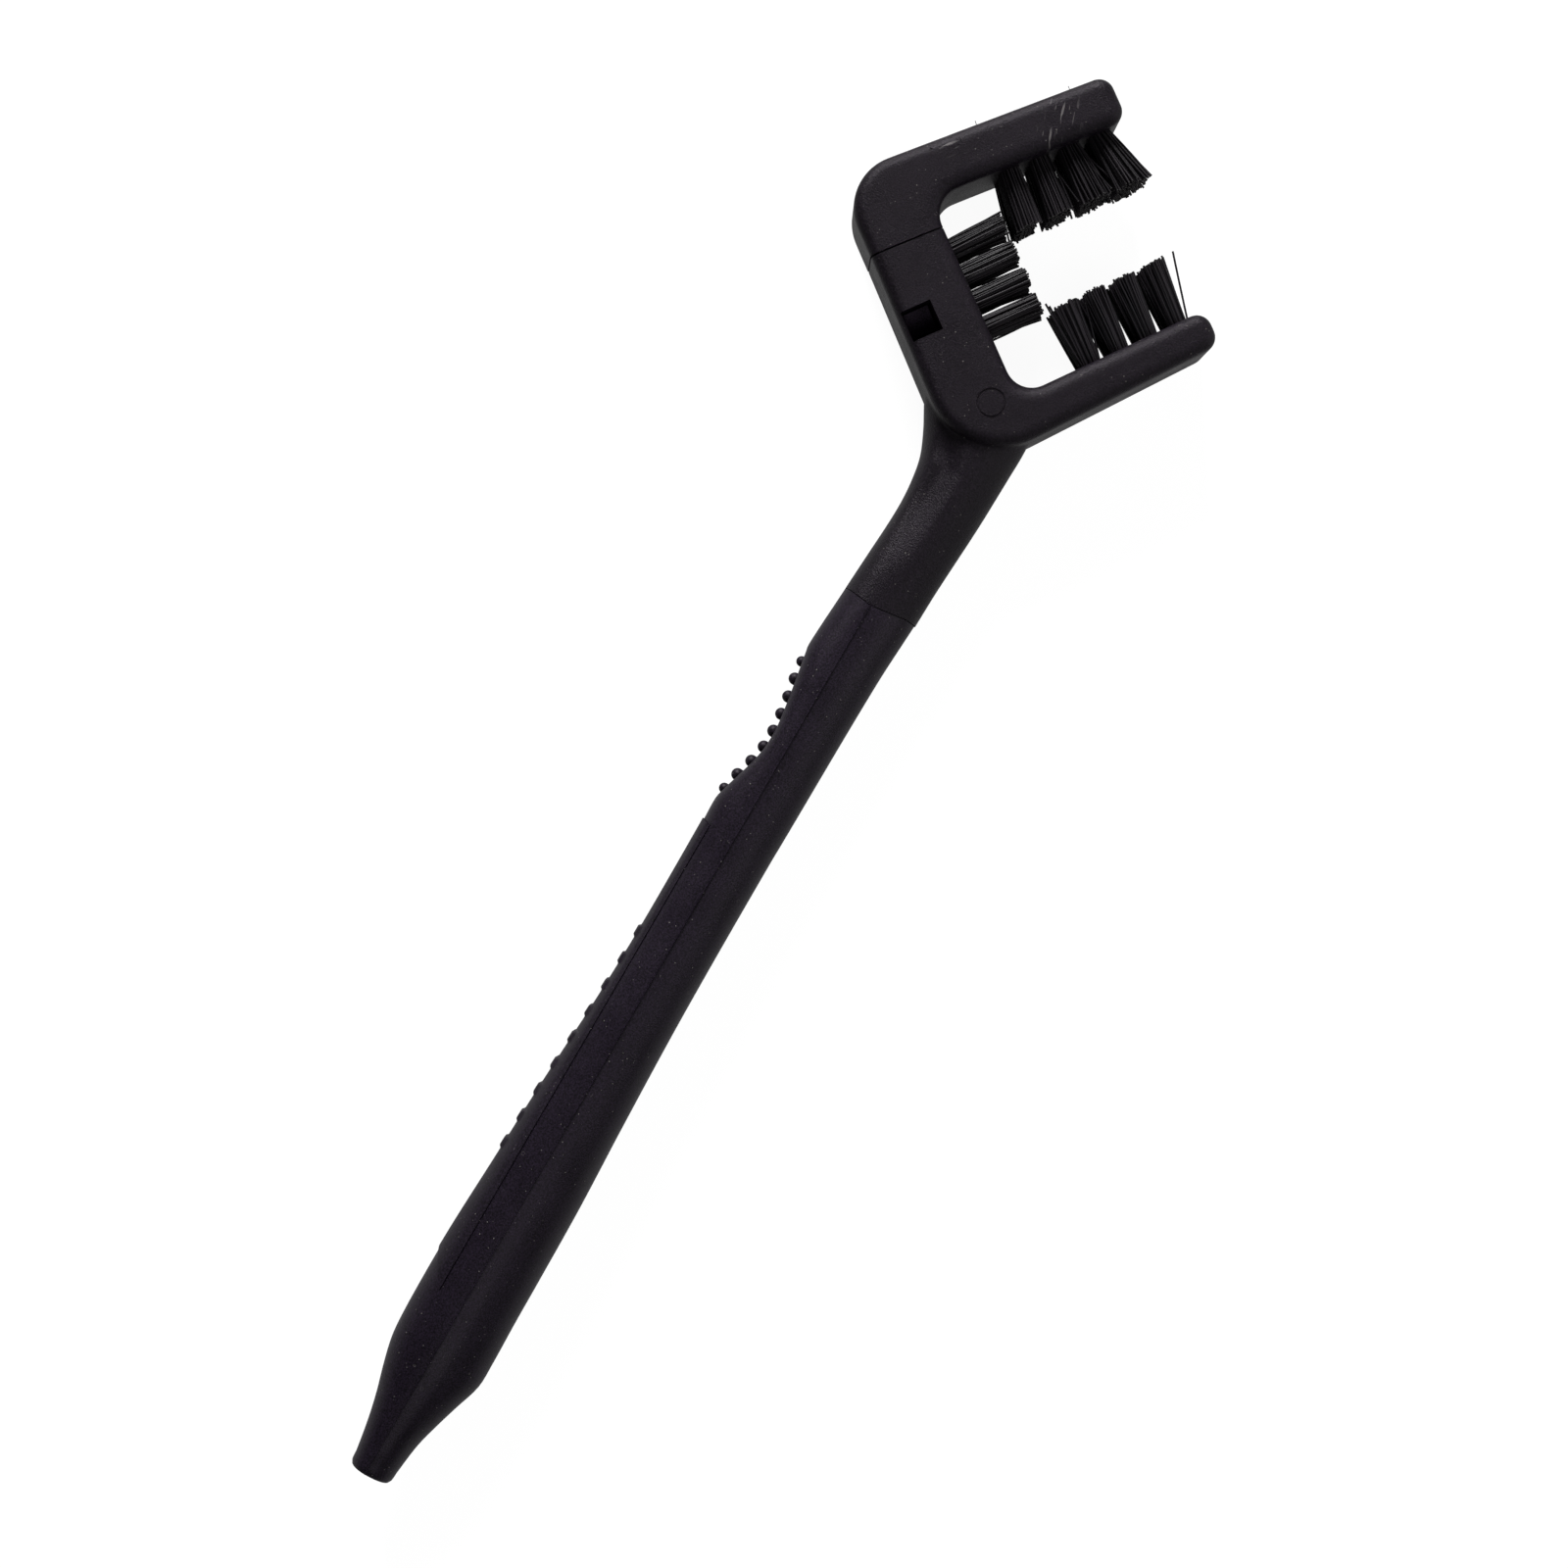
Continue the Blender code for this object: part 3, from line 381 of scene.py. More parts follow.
class BrushHead(bpy.types.PropertyGroup):
    outer_edge: size("Outer edge", "Radius of the head's outer edges", 0.0020, 0.0005, 0.0030)
    inner_edge: size("Inner edge", "How far the inner edges roll over on the face", 0.0025, 0.0005, 0.0035)
    inner_drop: size("Inner drop", "How deep the inner edges roll over", 0.0017, 0.0005, 0.0035)
    cell: size("Cell", "Cell of the mesh that the head is made from", 0.00028, 0.0002, 0.001)
    plastic: colour("Plastic", "Colour of the head's plastic", (0.0054, 0.0036, 0.0065))
    roughness: share("Roughness", "Roughness of the head's plastic", 0.43)
    grain: share("Grain", "Strength of the spark texture", 0.8)


class BrushBristles(bpy.types.PropertyGroup):
    strands: IntProperty(name="Strands", description="Strands in a tuft", default=64, min=8, max=80)
    radius: size("Radius", "Radius of a strand", 0.00018, 0.00005, 0.0004)
    bundle: share("Bundle", "How wide all the tufts are at their feet", 1.0, 0.5, 1.3)
    flare: share("Flare", "How much all the tufts open towards their ends", 1.0, 0.5, 2.0)
    scatter: size("Scatter", "How far a strand's end strays", 0.00018, 0.0, 0.001)
    spread: share("Length spread", "How much strands differ in length", 0.042, 0.0, 0.3)
    bow: size("Bow", "How far a strand bends", 0.00014, 0.0, 0.001)
    seed: IntProperty(name="Seed", description="Seed of the strands' differences", default=7, min=0)
    nylon: colour("Nylon", "Colour of the bristles", (0.0044, 0.0034, 0.0048))
    roughness: share("Roughness", "Roughness of the bristles", 0.42)


class BrushHandle(bpy.types.PropertyGroup):
    ridge: share("Ridge", "Slope of each side away from the parting line", 0.05, 0.0, 0.2)
    rib_height: size("Rib height", "How far the grip's ribs stand up", 0.00040, 0.0, 0.001)
    nub_radius: size("Nub radius", "Radius of the thumb pad's nubs", 0.00104, 0.0003, 0.0015)
    nub_height: size("Nub height", "How far the nubs stand up", 0.00152, 0.0003, 0.002)
    plastic: colour("Plastic", "Colour of the handle's shells", (0.0090, 0.0060, 0.0118))
    roughness: share("Roughness", "Roughness of the shells", 0.44)
    rubber: colour("Rubber", "Colour of the soft inlays", (0.0088, 0.0060, 0.0114))
    rubber_roughness: share("Rubber roughness", "Roughness of the soft inlays", 0.50)


class BrushStage(bpy.types.PropertyGroup):
    floor: colour("Floor", "Colour of the floor", (0.12, 0.12, 0.12))
    key: strength("Key lamp", "Power of the lamp at the upper left", 16.0)
    fill: strength("Fill lamp", "Power of the lamp at the right", 3.5)
    back: strength("Tail lamp", "Power of the high lamp over the tail", 1.1)
    sky: strength("Sky", "Strength of the light from all round", 0.08)
    distance: size("Camera height", "Height of the camera over the floor", 0.580, 0.2, 2.0)


# Mesh helpers


def smooth_at(rows, place):
    """The values beside a place in a table, through a curve that passes each row."""
    rows = np.array(rows)
    i = int(np.clip(np.searchsorted(rows[:, 0], place) - 1, 0, len(rows) - 2))
    before, low, high, after = rows[max(i - 1, 0)], rows[i], rows[i + 1], rows[min(i + 2, len(rows) - 1)]
    step = high[0] - low[0]
    t = min(max((place - low[0]) / step, 0.0), 1.0)
    start = (high[1:] - before[1:]) / max(high[0] - before[0], 1e-9) * step
    end = (after[1:] - low[1:]) / max(after[0] - low[0], 1e-9) * step
    return (
        low[1:] * (2 * t**3 - 3 * t**2 + 1)
        + start * (t**3 - 2 * t**2 + t)
        + high[1:] * (3 * t**2 - 2 * t**3)
        + end * (t**3 - t**2)
    )


def bell(value, middle, width):
    return math.exp(-(((value - middle) / width) ** 2))


def ease(value, low, high):
    t = min(max((value - low) / (high - low), 0.0), 1.0)
    return t * t * (3 - 2 * t)


def object_from(name, build, turn=None):
    """A new object from the mesh being built, with its faces outwards and its place in its mesh."""
    bmesh.ops.recalc_face_normals(build, faces=build.faces)
    if turn:
        bmesh.ops.transform(build, matrix=turn, verts=build.verts)
    mesh = bpy.data.meshes.new(name)
    build.to_mesh(mesh)
    build.free()
    obj = bpy.data.objects.new(name, mesh)
    bpy.context.scene.collection.objects.link(obj)
    return obj


def skin(name, rings, turn=None):
    """A closed solid through rings with like counts of points."""
    build = bmesh.new()
    loops = [[build.verts.new(point) for point in ring] for ring in rings]
    for lower, upper in zip(loops, loops[1:]):
        for i in range(len(lower)):
            j = (i + 1) % len(lower)
            build.faces.new((lower[i], lower[j], upper[j], upper[i]))
    build.faces.new(list(reversed(loops[0])))
    build.faces.new(loops[-1])
    return object_from(name, build, turn)


def prism(name, outline, low, high):
    return skin(name, [[(x, y, z) for x, y in outline] for z in (low, high)])


def block(name, low, high):
    build = bmesh.new()
    extent = Vector(high) - Vector(low)
    middle = (Vector(high) + Vector(low)) / 2
    place = Matrix.Translation(middle) @ Matrix.Diagonal((*extent, 1.0))
    bmesh.ops.create_cube(build, size=1.0, matrix=place)
    return object_from(name, build)


def rods(name, placed, sides):
    """Round rods, each given by its start, direction, length and radius."""
    build = bmesh.new()
    for start, way, length, radius in placed:
        turn = Vector(way).to_track_quat("Z", "Y").to_matrix().to_4x4()
        middle = Vector(start) + Vector(way).normalized() * (length / 2)
        bmesh.ops.create_cone(
            build,
            cap_ends=True,
            segments=sides,
            radius1=radius,
            radius2=radius,
            depth=length,
            matrix=Matrix.Translation(middle) @ turn,
        )
    return object_from(name, build)


def evaluated_mesh(obj):
    graph = bpy.context.evaluated_depsgraph_get()
    return bpy.data.meshes.new_from_object(obj.evaluated_get(graph))


def settle(obj):
    """Applies the modifiers of an object."""
    mesh = evaluated_mesh(obj)
    obj.modifiers.clear()
    obj.data = mesh
    return obj


def combine(target, others, operation):
    """Applies one Boolean for each of the other objects, and removes them."""
    for other in others:
        modifier = target.modifiers.new("cut", "BOOLEAN")
        modifier.operation = operation
        modifier.solver = "MANIFOLD"
        modifier.object = other
    settle(target)
    for other in others:
        bpy.data.objects.remove(other, do_unlink=True)
    return target


def remesh(obj, cell, rounds):
    """Makes one even skin of an object's solids, and softens it."""
    modifier = obj.modifiers.new("even", "REMESH")
    modifier.mode = "VOXEL"
    modifier.voxel_size = cell
    soften = obj.modifiers.new("soften", "SMOOTH")
    soften.factor = 0.5
    soften.iterations = rounds
    return settle(obj)


def join(target, others):
    build = bmesh.new()
    for obj in [target, *others]:
        build.from_mesh(obj.data)
    build.to_mesh(target.data)
    build.free()
    for obj in others:
        bpy.data.objects.remove(obj, do_unlink=True)
    return target


def shade(obj, angle=38.0):
    obj.data.shade_smooth()
    obj.data.set_sharp_from_angle(angle=math.radians(angle))
    return obj


def finish_piece(obj, material, body, slot, *nodes):
    """Gives a finished piece its material, its body and the CAD nodes that it stands for."""
    obj.data.materials.clear()
    obj.data.materials.append(material)
    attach(obj, body)
    if nodes:
        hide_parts(*nodes)
    return obj


# Node helpers


def node(tree, kind, inputs=None, **settings):
    """A new node, with its settings and its inputs given as values or as sockets."""
    made = tree.nodes.new(kind)
    for name, value in settings.items():
        setattr(made, name, value)
    for name, value in (inputs or {}).items():
        if isinstance(value, bpy.types.NodeSocket):
            tree.links.new(value, made.inputs[name])
        else:
            made.inputs[name].default_value = value
    return made


def maths(tree, operation, *values):
    return node(tree, "ShaderNodeMath", dict(enumerate(values)), operation=operation).outputs[0]


def plus(tree, one, other):
    return maths(tree, "ADD", one, other)


def minus(tree, one, other):
    return maths(tree, "SUBTRACT", one, other)


def times(tree, product, *others):
    for other in others:
        product = maths(tree, "MULTIPLY", product, other)
    return product


def below(tree, value, limit):
    return maths(tree, "LESS_THAN", value, limit)


def between(tree, value, low, high):
    """0 below low and 1 above high, with a smooth way between."""
    made = node(tree, "ShaderNodeMapRange", {"Value": value, "From Min": low, "From Max": high})
    made.interpolation_type = "SMOOTHSTEP"
    return made.outputs[0]


def vectors(tree, operation, *values):
    return node(tree, "ShaderNodeVectorMath", dict(enumerate(values)), operation=operation).outputs[0]


def scaled(tree, vector, scale):
    return node(tree, "ShaderNodeVectorMath", {0: vector, "Scale": scale}, operation="SCALE").outputs[0]


def upright(tree, z):
    return node(tree, "ShaderNodeCombineXYZ", {"Z": z}).outputs[0]


def mix(tree, kind, factor, low, high):
    first, second, result = {"FLOAT": (2, 3, 0), "VECTOR": (4, 5, 1), "RGBA": (6, 7, 2)}[kind]
    return node(tree, "ShaderNodeMix", {0: factor, first: low, second: high}, data_type=kind).outputs[result]


def object_place(tree):
    return node(tree, "ShaderNodeTexCoord").outputs["Object"]


def noise_at(tree, place, scale, detail, roughness=0.5):
    inputs = {"Vector": place, "Scale": scale, "Detail": detail, "Roughness": roughness}
    return node(tree, "ShaderNodeTexNoise", inputs).outputs[0]


def cells_at(tree, place, scale):
    """Distance to the middle of a cell, and the red and green of the cell's own colour."""
    cells = node(tree, "ShaderNodeTexVoronoi", {"Vector": place, "Scale": scale})
    parts = node(tree, "ShaderNodeSeparateColor", {0: cells.outputs["Color"]}).outputs
    return cells.outputs["Distance"], parts[0], parts[1]


def bump(tree, **inputs):
    return node(tree, "ShaderNodeBump", inputs).outputs[0]


def group_of(name, kind, inputs, outputs):
    """A new node group with its named sockets."""
    tree = bpy.data.node_groups.new(name, kind)
    for label, socket, default in inputs:
        made = tree.interface.new_socket(label, in_out="INPUT", socket_type="NodeSocket" + socket)
        if default is not None:
            made.default_value = default
    for label, socket in outputs:
        tree.interface.new_socket(label, in_out="OUTPUT", socket_type="NodeSocket" + socket)
    return tree, tree.nodes.new("NodeGroupInput").outputs, tree.nodes.new("NodeGroupOutput").inputs


# Finishes


def moulded_group():
    """Spark texture and slow changes of gloss of moulded plastic, with the normal that they give."""
    tree, given, result = group_of(
        "Moulded plastic",
        "ShaderNodeTree",
        (
            ("Colour", "Color", (0.02, 0.02, 0.02, 1.0)),
            ("Roughness", "Float", 0.5),
            ("Grain", "Float", 0.5),
            ("Grain Scale", "Float", 3200.0),
            ("Waves", "Float", 0.1),
        ),
        (("Colour", "Color"), ("Roughness", "Float"), ("Normal", "Vector")),
    )
    place = object_place(tree)
    pit_scale, pit_depth = PITS
    fine = noise_at(tree, place, given["Grain Scale"], 3.0, 0.6)
    pit_inputs = {"Vector": place, "Scale": times(tree, given["Grain Scale"], pit_scale)}
    pits = node(tree, "ShaderNodeTexVoronoi", pit_inputs).outputs["Distance"]
    slow = noise_at(tree, place, WAVE_SCALE, 4.0, 0.55)
    grain = plus(tree, fine, times(tree, pits, pit_depth))
    sparks = bump(tree, Strength=given["Grain"], Distance=GRAIN_DEPTH, Height=grain)
    waves = bump(tree, Strength=given["Waves"], Distance=WAVE_DEPTH, Height=slow, Normal=sparks)
    mottled = plus(tree, times(tree, between(tree, fine, *MOTTLE_FROM), MOTTLE[0]), MOTTLE[1])
    mottled = times(tree, mottled, plus(tree, times(tree, slow, CLOUDS[0]), CLOUDS[1]))
    change = times(tree, minus(tree, slow, 0.5), GLOSS_CHANGE)
    tree.links.new(scaled(tree, given["Colour"], mottled), result["Colour"])
    tree.links.new(plus(tree, given["Roughness"], change), result["Roughness"])
    tree.links.new(waves, result["Normal"])
    return tree


def dust_group():
    """Scattered pale specks of dust and a few curled fibres."""
    tree, given, result = group_of(
        "Dust",
        "ShaderNodeTree",
        (
            ("Scale", "Float", 900.0),
            ("Amount", "Float", 0.05),
            ("Size", "Float", 0.22),
            ("Fibres", "Float", 0.5),
        ),
        (("Mask", "Float"),),
    )
    place = object_place(tree)
    distance, pick, tone = cells_at(tree, place, given["Scale"])
    chosen = below(tree, pick, given["Amount"])
    bright = maths(tree, "POWER", tone, DUST_CONTRAST)
    specks = times(tree, chosen, below(tree, distance, given["Size"]), bright)
    scale, radius, width, break_scale, strong = FIBRES
    distance, pick, _ = cells_at(tree, place, times(tree, given["Scale"], scale))
    few = below(tree, pick, times(tree, given["Amount"], given["Fibres"]))
    ring = below(tree, maths(tree, "ABSOLUTE", minus(tree, distance, radius)), width)
    part = between(tree, noise_at(tree, place, break_scale, 1.0), *FIBRE_BREAKS)
    fibres = times(tree, few, ring, times(tree, part, strong))
    tree.links.new(maths(tree, "MAXIMUM", specks, fibres), result["Mask"])
    return tree


def scratch_group():
    """Fine scratches that run one way inside a patch, given by its middle and reach."""
    tree, given, result = group_of(
        "Scratches",
        "ShaderNodeTree",
        (
            ("Middle", "Vector", (0.0, 0.0, 0.0)),
            ("Turn", "Float", 0.0),
            ("Reach", "Float", 0.004),
            ("Scale", "Float", 1500.0),
        ),
        (("Mask", "Float"),),
    )
    moved = vectors(tree, "SUBTRACT", object_place(tree), given["Middle"])
    turned = node(
        tree, "ShaderNodeVectorRotate", {"Vector": moved, "Angle": given["Turn"]}, rotation_type="Z_AXIS"
    ).outputs[0]
    lines = noise_at(tree, vectors(tree, "MULTIPLY", turned, SCRATCH_STRETCH), given["Scale"], 2.0)
    away = node(tree, "ShaderNodeVectorMath", {0: moved}, operation="LENGTH").outputs["Value"]
    inside = minus(tree, 1.0, between(tree, away, 0.0, given["Reach"]))
    tree.links.new(times(tree, between(tree, lines, *SCRATCH_LINES), inside), result["Mask"])
    return tree


def principled(name):
    material = bpy.data.materials.new(name)
    material.use_nodes = True
    tree = material.node_tree
    return material, tree, tree.nodes["Principled BSDF"]


def plastic(name, base, roughness, shine, grain, grain_scale, waves, dust, scratches=()):
    """Near-black moulded plastic with its grain, dust and scratches."""
    material, tree, shader = principled(name)
    moulded = node(
        tree,
        "ShaderNodeGroup",
        {
            "Colour": (*base, 1.0),
            "Roughness": roughness,
            "Grain": grain,
            "Grain Scale": grain_scale,
            "Waves": waves,
        },
        node_tree=GROUPS["moulded"],
    ).outputs
    marks = node(
        tree,
        "ShaderNodeGroup",
        {"Scale": DUST_SCALE, "Amount": dust, "Size": DUST_SIZE, "Fibres": DUST_FIBRES},
        node_tree=GROUPS["dust"],
    ).outputs[0]
    tint = moulded["Colour"]
    for middle, turn, reach in scratches:
        lines = node(
            tree,
            "ShaderNodeGroup",
            {"Middle": middle, "Turn": turn, "Reach": reach},
            node_tree=GROUPS["scratches"],
        ).outputs[0]
        tint = mix(tree, "RGBA", times(tree, lines, SCRATCH_STRENGTH), tint, SCRATCH_TINT)
    tree.links.new(mix(tree, "RGBA", marks, tint, DUST_TINT), shader.inputs["Base Color"])
    rough = mix(tree, "FLOAT", marks, moulded["Roughness"], DUST_ROUGHNESS)
    tree.links.new(rough, shader.inputs["Roughness"])
    tree.links.new(moulded["Normal"], shader.inputs["Normal"])
    shader.inputs["Specular IOR Level"].default_value = shine
    shader.inputs["Specular Tint"].default_value = SHINE_TINT
    return material


def nylon(name, base, roughness):
    """Glossy black strands that differ a little from one another, with paler cut ends."""
    material, tree, shader = principled(name)
    own = node(tree, "ShaderNodeAttribute", attribute_name="strand_tone").outputs["Fac"]
    along = node(tree, "ShaderNodeAttribute", attribute_name="strand_along").outputs["Fac"]
    end = between(tree, along, *CUT_END)
    pale = (*(part * more for part, more in zip(base, PALE_STRAND)), 1.0)
    by_tone, by_end = STRAND_ROUGHNESS
    scale, strong, deep = STRAND_BUMPS
    tint = mix(tree, "RGBA", end, mix(tree, "RGBA", own, (*base, 1.0), pale), CUT_END_TINT)
    rough = plus(tree, times(tree, own, by_tone), plus(tree, times(tree, end, by_end), roughness))
    fine = noise_at(tree, object_place(tree), scale, 2.0)
    tree.links.new(tint, shader.inputs["Base Color"])
    tree.links.new(rough, shader.inputs["Roughness"])
    tree.links.new(bump(tree, Strength=strong, Distance=deep, Height=fine), shader.inputs["Normal"])
    shader.inputs["Specular IOR Level"].default_value = 0.30
    return material


GROUPS = {}
MATERIALS = {}


def make_finishes(scene):
    GROUPS["moulded"] = moulded_group()
    GROUPS["dust"] = dust_group()
    GROUPS["scratches"] = scratch_group()
    head, handle, hair = scene.brush_head, scene.brush_handle, scene.brush_bristles
    worn = [(turned_place(*at, HEAD_THICKNESS), math.radians(turn), reach) for at, turn, reach in WEAR]
    MATERIALS["head"] = plastic(
        "head_plastic",
        head.plastic,
        head.roughness,
        shine=0.19,
        grain=head.grain,
        grain_scale=3700.0,
        waves=0.02,
        dust=0.16,
        scratches=worn,
    )
    # The latch finger gets the head's plastic made 3.5 times paler: painted light that lifts the shade in the
    # deep window
    MATERIALS["finger"] = plastic(
        "latch_plastic",
        [3.5 * part for part in head.plastic],
        0.36,
        shine=0.2,
        grain=0.18,
        grain_scale=4400.0,
        waves=0.02,
        dust=0.10,
    )
    MATERIALS["shell"] = plastic(
        "shell_plastic",
        handle.plastic,
        handle.roughness,
        shine=0.22,
        grain=0.26,
        grain_scale=3600.0,
        waves=0.03,
        dust=0.22,
    )
    MATERIALS["rubber"] = plastic(
        "soft_rubber",
        handle.rubber,
        handle.rubber_roughness,
        shine=0.22,
        grain=0.26,
        grain_scale=3400.0,
        waves=0.03,
        dust=0.20,
    )
    MATERIALS["nylon"] = nylon("bristle_nylon", hair.nylon, hair.roughness)


# Head shapes


def head_turn():
    return Matrix.Rotation(HEAD_ANGLE, 4, "Z")


def turned_place(x, y, z):
    return tuple(head_turn() @ Vector((x, y, z)))


def web_outer(height):
    return -(WEB_OUTER_LOW + (WEB_OUTER_HIGH - WEB_OUTER_LOW) * height / SEAM_HEIGHT)


def lower_face(x):
    rise = (x - WEB_INNER) / (LOWER_REACH - WEB_INNER)
    return (LOWER_INNER - LOWER_TIP_INNER) * rise - LOWER_INNER


def upper_face(x):
    fall = (x - WEB_INNER) / (UPPER_REACH - WEB_INNER)
    return UPPER_INNER + (UPPER_TIP_INNER - UPPER_INNER) * fall


def rounded(corners, steps=14):
    """The outline through corners (x, y, radius, inner), with arcs for corners, as rows (point, inner)."""
    outline = []
    for i, (x, y, radius, inner) in enumerate(corners):
        corner = Vector((x, y))
        if not radius:
            outline.append((corner, inner))
            continue
        before = (Vector(corners[i - 1][:2]) - corner).normalized()
        after = (Vector(corners[(i + 1) % len(corners)][:2]) - corner).normalized()
        half = before.angle(after) / 2
        centre = corner + (before + after).normalized() * (radius / math.sin(half))
        start = corner + before * (radius / math.tan(half)) - centre
        end = corner + after * (radius / math.tan(half)) - centre
        turn = start.angle_signed(end)
        for step in range(steps + 1):
            outline.append((centre + Matrix.Rotation(-turn * step / steps, 2) @ start, inner))
    return outline


def resampled(outline, spacing):
    """The outline with points at an even spacing, each with how far it counts as an inner edge."""
    result = []
    for (point, inner), (other, other_inner) in zip(outline, outline[1:] + outline[:1]):
        length = (other - point).length
        pieces = max(1, round(length / spacing))
        for step in range(pieces):
            t = step / pieces
            result.append((point.lerp(other, t), inner + (other_inner - inner) * t))
    return result


def moulded_plate(name, outline, settings):
    """A plate with its face edges rolled over, more so at its inner edges."""
    points = resampled(outline, OUTLINE_SPACING)
    count = len(points)
    inward = []
    for i in range(count):
        along = (points[(i + 1) % count][0] - points[i - 1][0]).normalized()
        inward.append(Vector((-along.y, along.x)))
    area = sum(points[i - 1][0].cross(points[i][0]) for i in range(count))
    if area < 0:
        inward = [-way for way in inward]
    rings = []
    for side in (0, 1):
        levels = []
        for step in range(EDGE_STEPS + 1):
            turn = math.pi / 2 * step / EDGE_STEPS
            ring = []
            for (point, inner), way in zip(points, inward):
                wide = settings.outer_edge + (settings.inner_edge - settings.outer_edge) * inner
                deep = settings.outer_edge + (settings.inner_drop - settings.outer_edge) * inner
                at = point + way * wide * (1 - math.cos(turn))
                drop = deep * (1 - math.sin(turn))
                ring.append((at.x, at.y, HEAD_THICKNESS - drop if side else drop))
            levels.append(ring)
        rings.extend(levels if side else reversed(levels))
    return skin(name, rings)


def frame_outline():
    root = -LOWER_INNER - LOWER_ROOT
    tip = -LOWER_TIP_INNER - LOWER_TIP
    top = SEAM_HEIGHT + OVERLENGTH
    before_tip = LOWER_REACH - LOWER_FADE
    return rounded((
        (web_outer(top), top, 0.0, 0.0),
        (web_outer(root), root, LOW_CORNER, 0.0),
        (LOWER_REACH, tip, TIP_CORNER, 0.0),
        (LOWER_REACH, -LOWER_TIP_INNER, TIP_CORNER, 0.0),
        (before_tip, lower_face(before_tip), 0.0, LOWER_TIP_SHARE),
        (WEB_INNER, -LOWER_INNER, LOW_INNER_CORNER, LOWER_ROOT_SHARE),
        (WEB_INNER, WEB_FADE, 0.0, 1.0),
        (WEB_INNER, top, 0.0, 1.0),
    ))


def arm_outline():
    foot = SEAM_HEIGHT - OVERLENGTH
    before_tip = UPPER_REACH - UPPER_FADE
    return rounded((
        (web_outer(foot), foot, 0.0, 0.0),
        (WEB_INNER, foot, 0.0, 1.0),
        (WEB_INNER, UPPER_INNER, HIGH_INNER_CORNER, 1.0),
        (before_tip, upper_face(before_tip), 0.0, 1.0),
        (UPPER_REACH, UPPER_TIP_INNER, TIP_CORNER, UPPER_TIP_SHARE),
        (UPPER_REACH, UPPER_TIP_INNER + UPPER_TIP, TIP_CORNER, 0.0),
        (web_outer(UPPER_INNER), UPPER_INNER + UPPER_ROOT, HIGH_CORNER, 0.0),
    ))


def seam_cutter(name, gap, far):
    left, right = web_outer(SEAM_HEIGHT), WEB_INNER
    slope = SEAM_RISE / (right - left)
    left, right = left - OVERCUT, right + OVERCUT
    corners = (
        (left, SEAM_HEIGHT + gap + SEAM_RISE + OVERCUT * slope),
        (right, SEAM_HEIGHT + gap - OVERCUT * slope),
        (right, far),
        (left, far),
    )
    return prism(name, corners, -OVERCUT, HEAD_THICKNESS + OVERCUT)


def seam_lip(name, play):
    """A low lip under the snap arm that goes into the web and keeps light out of the seam."""
    inset, deep, end = SEAM_LIP
    return block(
        name,
        (web_outer(SEAM_HEIGHT) + inset - play, SEAM_HEIGHT - deep - play, end - play),
        (WEB_INNER - inset + play, SEAM_HEIGHT + SEAM_LIP_ROOT, HEAD_THICKNESS - end + play),
    )


def tuft_seats(side):
    """(seat, lean) of each tuft of one side, in the head's axes."""
    first, pitch, _ = TUFTS[side]
    seats = []
    for z, up, along, web_along in TUFT_ROWS:
        for i, (lean, _) in enumerate(TUFT_ENDS[side][1]):
            place = first + i * pitch
            if side == "web":
                seats.append(((WEB_INNER, place, z), (0.0, lean + web_along, up)))
            else:
                face = lower_face if side == "lower" else upper_face
                seats.append(((place, face(place), z), (lean + along, 0.0, up)))
    return seats


def hole_cutter(name, sides):
    placed = []
    for side in sides:
        way = AIMS[side]
        for seat, _ in tuft_seats(side):
            placed.append((Vector(seat) - Vector(way) * HOLE_DEPTH, way, HOLE_DEPTH + OVERCUT, HOLE_RADIUS))
    return rods(name, placed, HOLE_SIDES)


def ring_cutter(name, mark):
    """A shallow round groove in the head's face."""
    x, y, radius, width, depth = mark
    build = bmesh.new()
    loops = []
    for out, z in ((-width, OVERCUT / 2), (-width / 2, -depth), (width / 2, -depth), (width, OVERCUT / 2)):
        loop = []
        for i in range(RING_SIDES):
            angle = 2 * math.pi * i / RING_SIDES
            at = radius + out
            spot = (x + at * math.cos(angle), y + at * math.sin(angle), HEAD_THICKNESS + z)
            loop.append(build.verts.new(spot))
        loops.append(loop)
    for lower, upper in zip(loops, loops[1:] + loops[:1]):
        for i in range(RING_SIDES):
            j = (i + 1) % RING_SIDES
            build.faces.new((lower[i], lower[j], upper[j], upper[i]))
    return object_from(name, build)


# Neck and handle shapes


def oval(value, power=SQUARENESS):
    return math.copysign(abs(value) ** (2 / power), value)


